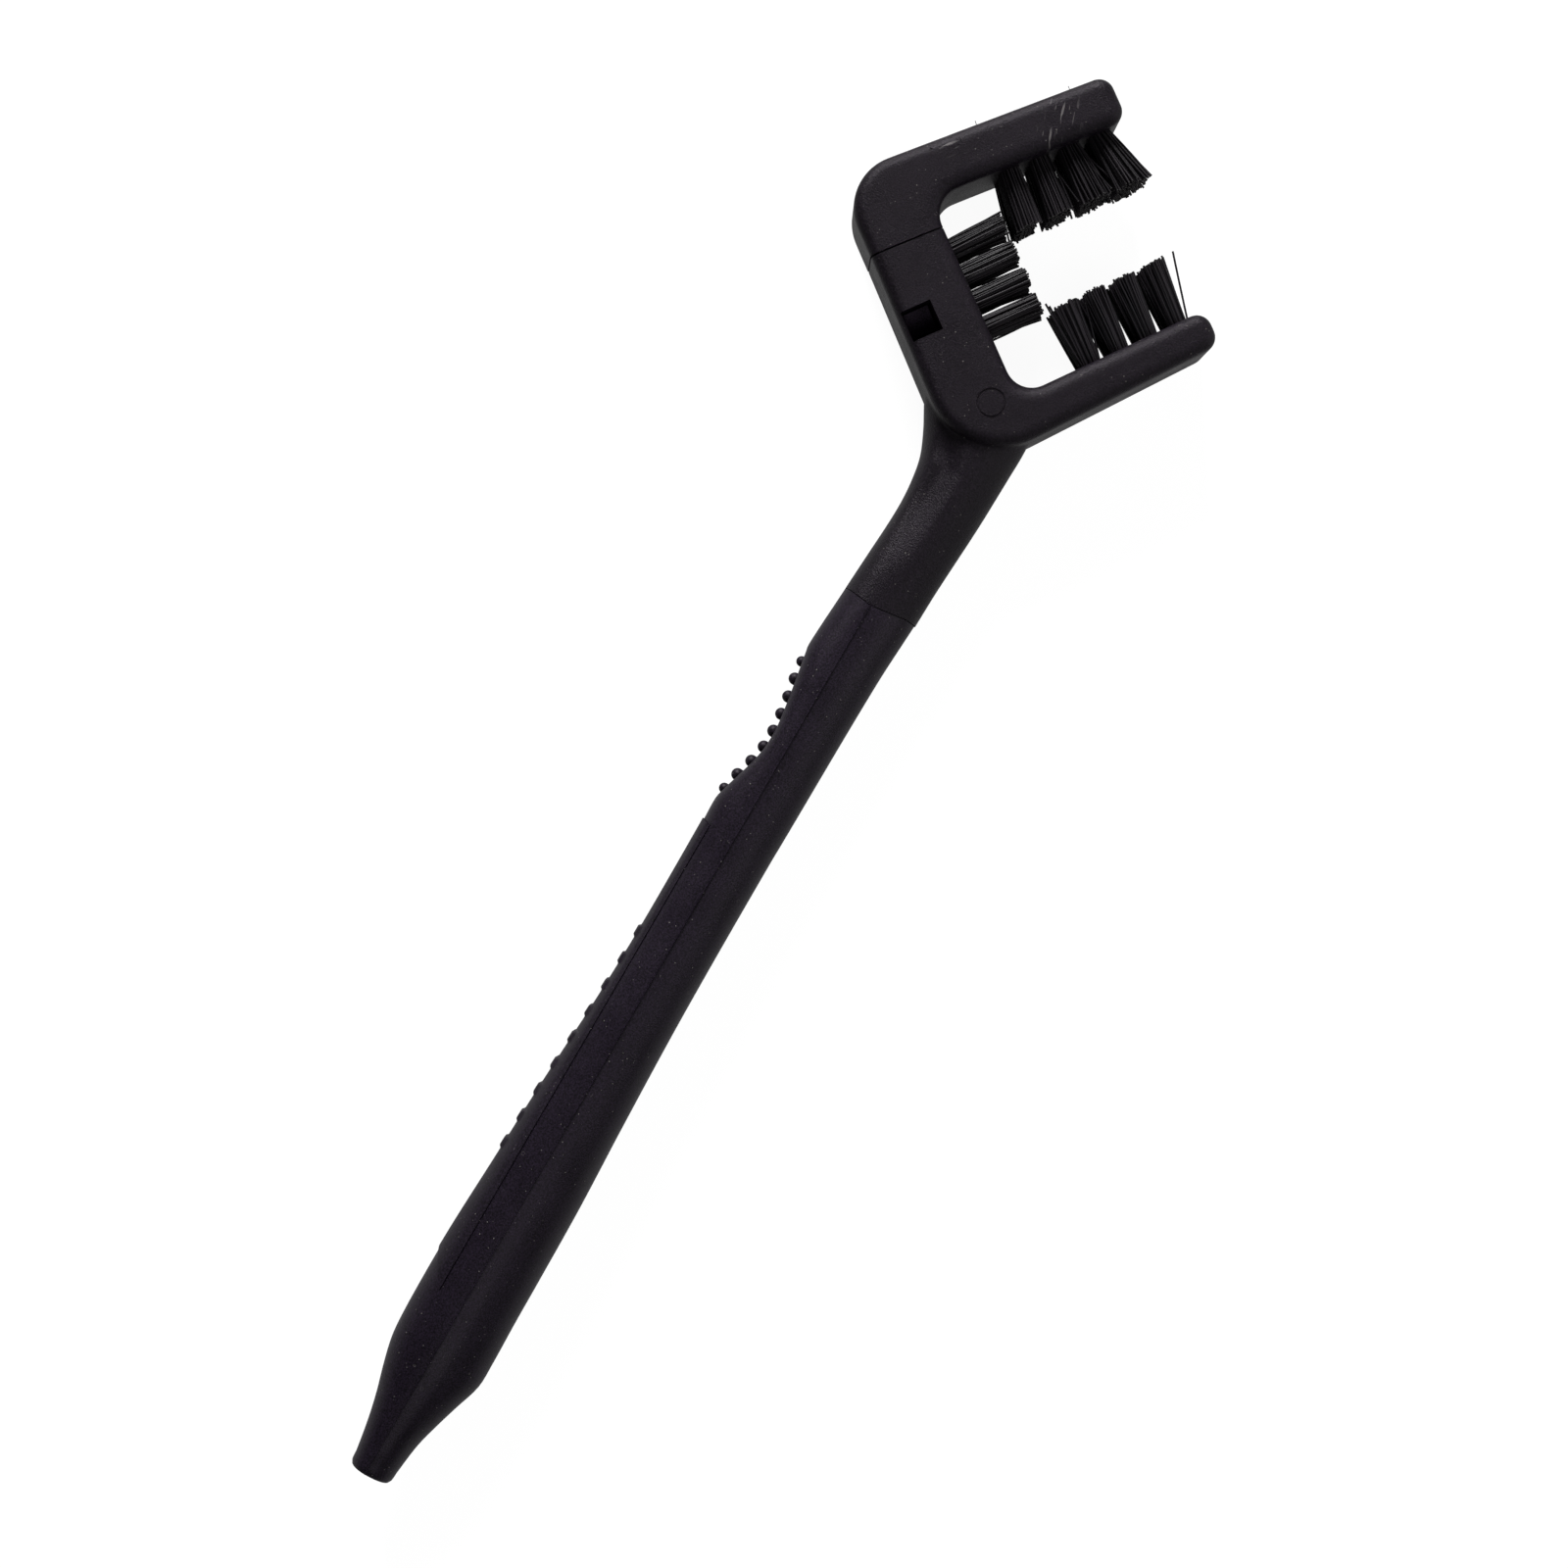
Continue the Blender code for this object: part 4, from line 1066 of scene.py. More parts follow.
def neck_sections():
    """Sections of the neck, with the hollow that runs up its front and back beside the crest."""
    thumb, heel, depth = NECK_SIZES
    line, bend, bend_start = HOLLOW_LINE
    height, end, middle, width = SWELLING
    rings = []
    for step in range(-NECK_STEPS_BEYOND, NECK_STEPS + 1):
        along = NECK_ROWS[-1][0] * step / NECK_STEPS
        shares = smooth_at(NECK_ROWS, along)
        x = SEAM_X + along * NECK_LENGTH
        ring = []
        for i in range(NECK_SIDES):
            angle = 2 * math.pi * i / NECK_SIDES
            across = oval(math.cos(angle))
            y = across * (thumb * shares[0] if across > 0 else heel * shares[1])
            rise = oval(math.sin(angle)) * depth * shares[2]
            off = y - line - bend * max(0.0, x + bend_start)
            hollow = HOLLOW_DEPTH * ease(x, *HOLLOW_STARTS) * (1 - ease(x, *HOLLOW_ENDS))
            hollow *= ease(off, *HOLLOW_HEEL_SIDE) * (1 - HOLLOW_FADE * ease(off, *HOLLOW_THUMB_SIDE))
            swelling = height * ease(x, SEAM_X, end) * bell(y, middle, width)
            top = abs(math.sin(angle)) ** 0.5
            z = MID + math.copysign(abs(rise) - (hollow - swelling) * top, rise)
            ring.append((x, y, z))
        rings.append(ring)
    return rings


def seam_bow(y):
    """How far the seam between neck and handle runs towards the tail at a place across it."""
    return -SEAM_BOW * max(0.0, 1 - abs(y) / SEAM_BOW_REACH)


def neck_end(name):
    """What lies beyond the neck's end, to cut it off along the bowed seam."""
    reach, pitch, length, over = 0.013, 0.0005, 0.006, 0.005
    ys = [-reach + pitch * i for i in range(round(2 * reach / pitch) + 1)]
    outline = [(SEAM_X - NECK_GAP + seam_bow(y), y) for y in ys]
    outline += [(SEAM_X - length, ys[-1]), (SEAM_X - length, ys[0])]
    ends = [[(x, y, z) for x, y in outline] for z in (-over, HEAD_THICKNESS + over)]
    return skin(name, ends, head_turn().inverted())


def spigot_block(name, play, beyond, far):
    """The spigot that joins head and handle, or with play its socket."""
    length, thumb, heel, depth = SPIGOT
    return block(
        name,
        (SEAM_X - length - beyond, -heel - play, MID - depth - play),
        (SEAM_X + far, thumb + play, MID + depth + play),
    )


def handle_at(place):
    shares = smooth_at(HANDLE_ROWS, place / HANDLE_LENGTH)
    start, length, depth = SCOOP
    dip = depth * smooth_at(SCOOP_ROWS, (place - start) / length)[0]
    thumb, heel, deep = (shares[i] * HANDLE_SIZES[i] for i in range(3))
    return thumb - dip, heel, deep


def handle_point(place, angle, offset=0.0, ridge=0.0):
    """A point of the handle's surface at a distance from the tail and an angle from +Y, lifted by offset."""
    thumb, heel, depth = handle_at(place)
    power = squareness(place) if math.cos(angle) > 0 else SQUARENESS
    across = oval(math.cos(angle), power)
    side = thumb if across > 0 else heel
    rise = oval(math.sin(angle), power) * (depth + offset) * (1 - ridge * abs(across) * abs(math.sin(angle)))
    y = across * (side + offset)
    bow = seam_bow(y) * ease(place, HANDLE_LENGTH - SEAM_BOW_LENGTH, HANDLE_LENGTH)
    return Vector((TAIL_X + place + bow, y, MID + rise))


def squareness(place):
    """How square the thumb side is, more so at the scoop, where its rim stands up beside the pad."""
    start, length, _ = SCOOP
    rim = ease(place, start - 0.012, start + 0.006)
    return SQUARENESS + SCOOP_SQUARENESS * rim * (1 - ease(place, start + length - 0.008, HANDLE_LENGTH))


def angle_of_width(place, half_width):
    return math.asin(min(1.0, half_width / handle_at(place)[2]) ** (squareness(place) / 2))


def angle_of_edge(place, height):
    return math.acos(min(1.0, height / handle_at(place)[0]) ** (squareness(place) / 2))


def tail_rib(place, angle, side):
    """How far the heel side stands above the thumb side beside the parting line near the tail."""
    if side > 0 or math.cos(angle) > -1e-6:
        return 0.0
    off = abs(handle_point(place, angle).y)
    height = TAIL_RIB * ease(place, *TAIL_RIB_STARTS) * (1 - ease(place, *TAIL_RIB_ENDS))
    return height * (1 - ease(off, *TAIL_RIB_SIDE))


def handle_stations():
    places = {round(row[0] * HANDLE_LENGTH, 6) for row in HANDLE_ROWS}
    places |= {round(i * HANDLE_LENGTH / HANDLE_STEPS, 6) for i in range(HANDLE_STEPS + 1)}
    return sorted(places)


def inlay_slab(name, start, end, half_angle, low, high, steps, columns):
    """A curved slab on the thumb side between two offsets, the upper one given by place and angle."""
    build = bmesh.new()
    sheets = []
    for offset in (lambda place, angle: low, high):
        sheet = []
        for step in range(steps + 1):
            line = []
            for column in range(columns + 1):
                across = 2 * column / columns - 1
                place = start(across) + (end(across) - start(across)) * step / steps
                angle = across * half_angle(place)
                line.append(build.verts.new(handle_point(place, angle, offset(place, angle))))
            sheet.append(line)
        sheets.append(sheet)
    bottom, top = sheets
    for sheet in sheets:
        for one, other in zip(sheet, sheet[1:]):
            for column in range(columns):
                build.faces.new((one[column], other[column], other[column + 1], one[column + 1]))
    for column in range(columns):
        for step in (0, steps):
            one, other = bottom[step], top[step]
            build.faces.new((one[column], one[column + 1], other[column + 1], other[column]))
    for step in range(steps):
        for column in (0, columns):
            one, other = (bottom[step], bottom[step + 1]), (top[step], top[step + 1])
            build.faces.new((one[0][column], one[1][column], other[1][column], other[0][column]))
    return object_from(name, build)


def pad_slab(name, clearance, low, high):
    start, length, _ = SCOOP
    first = start + PAD_MARGIN - clearance
    last = start + length - PAD_MARGIN + clearance
    middle = (first + last) / 2
    end_share, rest = PAD_END_SHARES

    def half_angle(place):
        out = min(1.0, abs(place - middle) / (last - middle))
        narrowing = end_share + rest * math.sqrt(1 - out**2)
        return angle_of_width(place, PAD_HALF_WIDTH * narrowing + clearance)

    return inlay_slab(
        name, lambda across: first, lambda across: last, half_angle, low, high, steps=48, columns=20
    )


def panel_slab(name, clearance, low, high):
    return inlay_slab(
        name,
        lambda across: PANEL_TAIL + PANEL_NOTCH * (1 - across**2) - clearance * (1 + 2.0 * across**2),
        lambda across: PANEL_HEAD - PANEL_HEAD_ROUND * across**2 + clearance,
        lambda place: angle_of_edge(place, PANEL_EDGE - clearance),
        low,
        high,
        steps=260,
        columns=30,
    )


# Geometry Nodes trees


def geometry(tree, kind, inputs, **settings):
    return node(tree, "GeometryNode" + kind, inputs, **settings).outputs[0]


def read(tree, name, kind="FLOAT_VECTOR"):
    return node(tree, "GeometryNodeInputNamedAttribute", {"Name": name}, data_type=kind).outputs["Attribute"]


def kept(tree, cloud, name, value, kind="FLOAT_VECTOR"):
    inputs = {"Geometry": cloud, "Name": name, "Value": value}
    return geometry(tree, "StoreNamedAttribute", inputs, data_type=kind, domain="POINT")


def chance(tree, low, high, seed, offset, kind="FLOAT"):
    made = node(tree, "FunctionNodeRandomValue", {"Seed": plus(tree, seed, float(offset))}, data_type=kind)
    first, result = (0, 0) if kind == "FLOAT_VECTOR" else (2, 1)
    made.inputs[first].default_value = low
    made.inputs[first + 1].default_value = high
    return made.outputs[result]


def any_way(tree, seed, offset, scale):
    """A vector of any direction, up to a scale on each axis."""
    way = chance(tree, (-1.0, -1.0, -1.0), (1.0, 1.0, 1.0), seed, offset, "FLOAT_VECTOR")
    return scaled(tree, way, scale)


def bristle_tree():
    """Strands that fan out from each tuft's seat."""
    tree, given, result = group_of(
        "Bristles",
        "GeometryNodeTree",
        (
            ("Geometry", "Geometry", None),
            ("Strand Radius", "Float", 0.00018),
            ("Scatter", "Float", 0.0002),
            ("Length Spread", "Float", 0.05),
            ("Bow", "Float", 0.0001),
            ("Root", "Float", 0.0010),
            ("Seed", "Int", 7),
            ("Material", "Material", None),
        ),
        (("Geometry", "Geometry"),),
    )
    # Each tuft's strands stand in a disc at its foot, as the seeds of a sunflower do
    points = geometry(tree, "MeshToPoints", {"Mesh": given["Geometry"]})
    count = read(tree, "count", "INT")
    many = node(tree, "GeometryNodeDuplicateElements", {"Geometry": points, "Amount": count}, domain="POINT")
    index = many.outputs["Duplicate Index"]
    seed = given["Seed"]
    aim = read(tree, "aim")
    out = maths(tree, "SQRT", maths(tree, "DIVIDE", plus(tree, index, 0.5), count))
    radius = times(tree, out, read(tree, "width", "FLOAT"), chance(tree, *RADIUS_PLAY, seed, 1))
    angle = plus(tree, times(tree, index, GOLDEN_ANGLE), chance(tree, *ANGLE_PLAY, seed, 2))
    side = vectors(tree, "CROSS_PRODUCT", (0.0, 0.0, 1.0), aim)
    disc = vectors(
        tree,
        "ADD",
        scaled(tree, side, times(tree, radius, maths(tree, "COSINE", angle))),
        upright(tree, times(tree, radius, maths(tree, "SINE", angle))),
    )

    # Foot, end and bend of each strand
    shorter = times(tree, given["Length Spread"], chance(tree, 0.0, 1.0, seed, 3))
    length = times(tree, read(tree, "reach", "FLOAT"), minus(tree, 1.0, shorter))
    way = scaled(tree, vectors(tree, "ADD", aim, read(tree, "lean")), length)
    opened = times(tree, read(tree, "flare", "FLOAT"), chance(tree, *FLARE_PLAY, seed, 5))
    place = node(tree, "GeometryNodeInputPosition").outputs[0]
    root = vectors(tree, "SUBTRACT", place, scaled(tree, aim, given["Root"]))
    spread = vectors(tree, "ADD", place, scaled(tree, disc, opened))
    tip = vectors(tree, "ADD", spread, vectors(tree, "ADD", way, any_way(tree, seed, 4, given["Scatter"])))
    cloud = kept(tree, many.outputs["Geometry"], "strand_base", vectors(tree, "ADD", root, disc))
    cloud = kept(tree, cloud, "strand_tip", tip)
    cloud = kept(tree, cloud, "strand_bow", any_way(tree, seed, 6, given["Bow"]))
    cloud = kept(tree, cloud, "strand_tone", chance(tree, 0.0, 1.0, seed, 8), "FLOAT")

    # A thin line for each strand, and a skin round it
    line = geometry(tree, "CurvePrimitiveLine", {"End": (0.0, 0.0, 1.0)})
    line = geometry(tree, "ResampleCurve", {"Curve": line, "Count": STRAND_POINTS})
    placed = geometry(tree, "InstanceOnPoints", {"Points": cloud, "Instance": line})
    lines = geometry(tree, "RealizeInstances", {"Geometry": placed})
    along = node(tree, "GeometryNodeSplineParameter").outputs["Factor"]
    straight = mix(tree, "VECTOR", along, read(tree, "strand_base"), read(tree, "strand_tip"))
    hump = times(tree, along, minus(tree, 1.0, along), 4.0)
    bent = vectors(tree, "ADD", straight, scaled(tree, read(tree, "strand_bow"), hump))
    lines = geometry(tree, "SetPosition", {"Geometry": lines, "Position": bent})
    lines = kept(tree, lines, "strand_along", along, "FLOAT")
    thin = minus(tree, 1.0, times(tree, along, STRAND_THINNING))
    lines = geometry(tree, "SetCurveRadius", {"Curve": lines, "Radius": thin})
    inputs = {"Resolution": STRAND_SIDES, "Radius": given["Strand Radius"]}
    ring = geometry(tree, "CurvePrimitiveCircle", inputs)
    solid = geometry(tree, "CurveToMesh", {"Curve": lines, "Profile Curve": ring, "Fill Caps": True})
    whole = geometry(tree, "RealizeInstances", {"Geometry": solid})
    whole = geometry(tree, "SetMaterial", {"Geometry": whole, "Material": given["Material"]})
    tree.links.new(whole, result["Geometry"])
    return tree


def nub_tree():
    """A rounded nub on each point, standing along its normal."""
    tree, given, result = group_of(
        "Nubs",
        "GeometryNodeTree",
        (
            ("Geometry", "Geometry", None),
            ("Radius", "Float", 0.0008),
            ("Height", "Float", 0.0013),
            ("Seed", "Int", 3),
            ("Material", "Material", None),
        ),
        (("Geometry", "Geometry"),),
    )
    points = geometry(tree, "MeshToPoints", {"Mesh": given["Geometry"]})
    ball = geometry(tree, "MeshUVSphere", {"Segments": 20, "Rings": 12, "Radius": given["Radius"]})
    stem = minus(tree, given["Height"], given["Radius"])
    position = node(tree, "GeometryNodeInputPosition").outputs[0]
    depth = node(tree, "ShaderNodeSeparateXYZ", {0: position}).outputs[2]
    sunk = upright(tree, times(tree, stem, -1.0))
    lower_half = below(tree, depth, -0.00001)
    ball = geometry(tree, "SetPosition", {"Geometry": ball, "Selection": lower_half, "Offset": sunk})
    ball = geometry(tree, "Transform", {"Geometry": ball, "Translation": upright(tree, stem)})
    turn = node(tree, "FunctionNodeAlignRotationToVector", {"Vector": read(tree, "aim")}, axis="Z").outputs[0]
    scale = times(tree, chance(tree, *NUB_PLAY, given["Seed"], 1), read(tree, "share", "FLOAT"))
    inputs = {"Points": points, "Instance": ball, "Rotation": turn, "Scale": scale}
    whole = geometry(tree, "RealizeInstances", {"Geometry": geometry(tree, "InstanceOnPoints", inputs)})
    whole = geometry(tree, "SetShadeSmooth", {"Geometry": whole})
    whole = geometry(tree, "SetMaterial", {"Geometry": whole, "Material": given["Material"]})
    tree.links.new(whole, result["Geometry"])
    return tree


def grow(name, tree, points, attributes, values):
    """Runs a tree on points with named attributes, and returns the plain mesh that it makes as an object."""
    mesh = bpy.data.meshes.new(name)
    mesh.from_pydata([tuple(point) for point in points], [], [])
    for label, (kind, rows) in attributes.items():
        layer = mesh.attributes.new(label, kind, "POINT")
        for item, row in zip(layer.data, rows):
            if kind == "FLOAT_VECTOR":
                item.vector = row
            else:
                item.value = row
    guide = bpy.data.objects.new(name, mesh)
    bpy.context.scene.collection.objects.link(guide)
    modifier = guide.modifiers.new("grow", "NODES")
    modifier.node_group = tree
    for item in tree.interface.items_tree:
        if item.in_out == "INPUT" and item.name in values:
            modifier[item.identifier] = values[item.name]
    settle(guide)
    for label in (*attributes, "strand_base", "strand_tip", "strand_bow"):
        layer = guide.data.attributes.get(label)
        if layer:
            guide.data.attributes.remove(layer)
    return guide


# Operators


class BRUSH_OT_head_frame(bpy.types.Operator):
    """Builds the lower jaw, the web and the neck as one moulding"""

    bl_idname = "brush.head_frame"
    bl_label = "Head frame"

    def execute(self, context):
        settings = context.scene.brush_head
        body = moulded_plate("head_frame_looks", frame_outline(), settings)
        join(body, [skin("neck", neck_sections(), head_turn().inverted())])
        remesh(body, settings.cell, SOFTEN_ROUNDS)
        left, right, foot, low, high = TONGUE
        half = WINDOW_SIDE / 2
        cutters = [
            seam_cutter("above_seam", 0.0, SEAM_HEIGHT + OVERLENGTH + OVERCUT),
            block(
                "tongue_socket",
                (left - TONGUE_PLAY, foot - TONGUE_PLAY, low - TONGUE_PLAY),
                (right + TONGUE_PLAY, SEAM_HEIGHT + OVERCUT, high + TONGUE_PLAY),
            ),
            block(
                "latch_window",
                (LATCH_X - half, WINDOW_HEIGHT - half, MID),
                (LATCH_X + half, WINDOW_HEIGHT + half, HEAD_THICKNESS + OVERCUT),
            ),
            seam_lip("seam_groove", SEAM_LIP_PLAY),
            hole_cutter("tuft_holes", ("web", "lower")),
            ring_cutter("ejector_mark", EJECTOR_MARK),
            neck_end("beyond_the_neck"),
        ]
        combine(body, cutters, "DIFFERENCE")
        body.data.transform(head_turn())
        combine(body, [spigot_block("spigot", 0.0, 0.0, NECK_SIZES[0])], "UNION")
        shade(body)
        finish_piece(body, MATERIALS["head"], "brush", "head_plastic", "head_frame")
        return {"FINISHED"}


class BRUSH_OT_snap_arm(bpy.types.Operator):
    """Builds the upper jaw with its tongue"""

    bl_idname = "brush.snap_arm"
    bl_label = "Snap arm"

    def execute(self, context):
        settings = context.scene.brush_head
        body = moulded_plate("snap_arm_looks", arm_outline(), settings)
        remesh(body, settings.cell, SOFTEN_ROUNDS)
        left, right, foot, low, high = TONGUE
        cutters = [
            seam_cutter("below_seam", SEAM_GAP, SEAM_HEIGHT - OVERLENGTH - OVERCUT),
            hole_cutter("tuft_holes", ("upper",)),
            rods("arm_marks", ARM_DASHES + ARM_NICKS, sides=8),
        ]
        combine(body, cutters, "DIFFERENCE")
        combine(body, [rods("arm_flash", ARM_FLASH, sides=6), seam_lip("seam_lip", 0.0)], "UNION")
        tongue = block("tongue", (left, foot, low), (right, SEAM_HEIGHT + OVERCUT, high))
        recess = block(
            "recess",
            (left - OVERCUT, foot - OVERCUT, RECESS_FLOOR),
            (right + OVERCUT, FINGER_ROOT + TONGUE_PLAY, high + OVERCUT),
        )
        combine(tongue, [recess], "DIFFERENCE")
        combine(body, [tongue], "UNION")
        body.data.transform(head_turn())
        shade(body)
        finish_piece(body, MATERIALS["head"], "snap_arm", "head_plastic", "snap_arm")
        return {"FINISHED"}


class BRUSH_OT_latch(bpy.types.Operator):
    """Gives the latch finger seen in the square window a paler plastic, as painted light that lifts the shade
    in the deep window
    """

    bl_idname = "brush.latch"
    bl_label = "Latch finger"

    def execute(self, context):
        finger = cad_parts["latch_finger"]
        finger.data.materials.clear()
        finger.data.materials.append(MATERIALS["finger"])
        return {"FINISHED"}


class BRUSH_OT_bristles(bpy.types.Operator):
    """Grows the tufts of the three sides and the few strands that stray"""

    bl_idname = "brush.bristles"
    bl_label = "Bristles"

    def execute(self, context):
        settings = context.scene.brush_bristles
        tree = bristle_tree()
        turn = head_turn()
        for side, body in (("web", "brush"), ("lower", "brush"), ("upper", "snap_arm")):
            tufts, strays = tuft_seats(side), STRAYS[side]
            many, few = len(tufts), len(strays)
            foot, ends = TUFT_ENDS[side]
            seats = [turn @ Vector(row[0]) for row in (*tufts, *strays)]
            leans = [turn @ Vector(row[1]) for row in (*tufts, *strays)]
            reaches = [TUFTS[side][2]] * many + [reach for _, _, reach in strays]
            widths = [settings.bundle * foot - settings.radius] * many + [0.0] * few
            flares = [settings.flare * opens for _, opens in ends] * len(TUFT_ROWS) + [1.0] * few
            obj = grow(
                side + "_bristles",
                tree,
                seats,
                {
                    "aim": ("FLOAT_VECTOR", [turn @ Vector(AIMS[side])] * (many + few)),
                    "lean": ("FLOAT_VECTOR", leans),
                    "reach": ("FLOAT", reaches),
                    "width": ("FLOAT", widths),
                    "flare": ("FLOAT", flares),
                    "count": ("INT", [settings.strands] * many + [1] * few),
                },
                {
                    "Strand Radius": settings.radius,
                    "Scatter": settings.scatter,
                    "Length Spread": settings.spread,
                    "Bow": settings.bow,
                    "Seed": settings.seed,
                    "Material": MATERIALS["nylon"],
                },
            )
            rows = ("front", "middle", "back")
            names = ["%s_tuft_%s_%d" % (side, row, i) for row in rows for i in range(1, 5)]
            finish_piece(obj, MATERIALS["nylon"], body, "bristle_nylon", *names)
        return {"FINISHED"}


class BRUSH_OT_shells(bpy.types.Operator):
    """Builds the thumb shell and the heel shell of the handle"""

    bl_idname = "brush.shells"
    bl_label = "Handle shells"

    def execute(self, context):
        ridge = context.scene.brush_handle.ridge
        turns = [2 * math.pi * i / HANDLE_SIDES for i in range(HANDLE_SIDES)]
        lined = [(turn, PARTING_LINE if abs(math.cos(turn)) < 1e-6 else 0.0) for turn in turns]
        for middle in (math.pi / 2, 3 * math.pi / 2):
            lined += [(middle + off, 0.0) for off in (-PARTING_HALF_ANGLE, PARTING_HALF_ANGLE)]
        lined.sort()
        core_start, core_end = CORE_ENDS
        for name, side, node_name in (("thumb", 1, "handle_thumb_shell"), ("heel", -1, "handle_heel_shell")):
            outer = []
            core = []
            for place in handle_stations():
                ring = []
                for turn, line in lined:
                    lift = math.copysign(tail_rib(place, turn, side) + line, math.sin(turn))
                    ring.append(handle_point(place, turn, 0.0, ridge) + Vector((0.0, 0.0, lift)))
                outer.append(ring)
                if core_start < place < HANDLE_LENGTH - core_end:
                    wall = WALL + (INLAY_DEPTH + PLAY if place > PANEL_TAIL - WALL and side > 0 else 0.0)
                    core.append([handle_point(place, turn, -wall, ridge) for turn in turns])
            shell = skin(name + "_shell", outer)
            near, far = sorted((0.0, side * HALF_SPACE))
            half = block(
                name + "_half",
                (TAIL_X - OVERCUT, near, MID - HALF_SPACE),
                (SEAM_X + OVERCUT, far, MID + HALF_SPACE),
            )
            combine(shell, [half], "INTERSECT")
            cutters = [skin("core", core), spigot_block("spigot_socket", PLAY, SOCKET_EXTRA, OVERCUT)]
            if side > 0:
                for slab, pocket in ((pad_slab, "pad_pocket"), (panel_slab, "panel_pocket")):
                    cutters.append(slab(pocket, FINE_GAP, -INLAY_DEPTH - PLAY, lambda place, angle: OVERCUT))
            combine(shell, cutters, "DIFFERENCE")
            shade(shell, 30.0)
            finish_piece(shell, MATERIALS["shell"], "brush", "handle_plastic", node_name)
        return {"FINISHED"}


class BRUSH_OT_thumb_pad(bpy.types.Operator):
    """Builds the soft pad in the thumb scoop, with its rows of nubs"""

    bl_idname = "brush.thumb_pad"
    bl_label = "Thumb pad"

    def execute(self, context):
        settings = context.scene.brush_handle
        pad = pad_slab("thumb_pad_looks", 0.0, -INLAY_DEPTH, lambda place, angle: -PAD_DROP)
        rows, pitch, spread, back, end_share = NUBS
        start, length, _ = SCOOP
        places, aims, shares = [], [], []
        for row in range(rows):
            place = start + length / 2 - back + (row - (rows - 1) / 2) * pitch
            at_end = row in (0, rows - 1)
            columns = (0,) if at_end else ((-1, 1) if row % 2 else (-2, 0, 2))
            for column in columns:
                angle = math.copysign(angle_of_width(place, abs(column) * spread), column)
                foot = handle_point(place, angle, -PAD_DROP)
                places.append(foot)
                shares.append(end_share if at_end else 1.0)
                aims.append((handle_point(place, angle, 0.001) - foot).normalized())
        nubs = grow(
            "nubs",
            nub_tree(),
            places,
            {"aim": ("FLOAT_VECTOR", aims), "share": ("FLOAT", shares)},
            {
                "Radius": settings.nub_radius,
                "Height": settings.nub_height,
                "Material": MATERIALS["rubber"],
            },
        )
        combine(pad, [nubs], "UNION")
        shade(pad)
        finish_piece(pad, MATERIALS["rubber"], "brush", "grip_rubber", "thumb_pad")
        return {"FINISHED"}


class BRUSH_OT_grip_panel(bpy.types.Operator):
    """Builds the soft side panel with its short raised ribs"""

    bl_idname = "brush.grip_panel"
    bl_label = "Grip panel"

    def execute(self, context):
        settings = context.scene.brush_handle
        count, first, pitch, length, half = RIBS
        fades = [length * part for part in RIB_END_FADES]

        def surface(place, angle):
            out = abs(angle) / angle_of_edge(place, PANEL_EDGE)
            lift = PANEL_LIFT - PANEL_EDGE_DROP * ease(out, *PANEL_EDGE_ROLL)
            wide = angle_of_width(place, half)
            inside = 1 - ease(abs(angle), wide * RIB_SIDE_FADE, wide)
            for i in range(count):
                lift += settings.rib_height * inside * (1 - ease(abs(place - first - i * pitch), *fades))
            return lift

        panel = panel_slab("grip_panel_looks", 0.0, -INLAY_DEPTH, surface)
        shade(panel)
        finish_piece(panel, MATERIALS["rubber"], "brush", "grip_rubber", "grip_panel")
        return {"FINISHED"}


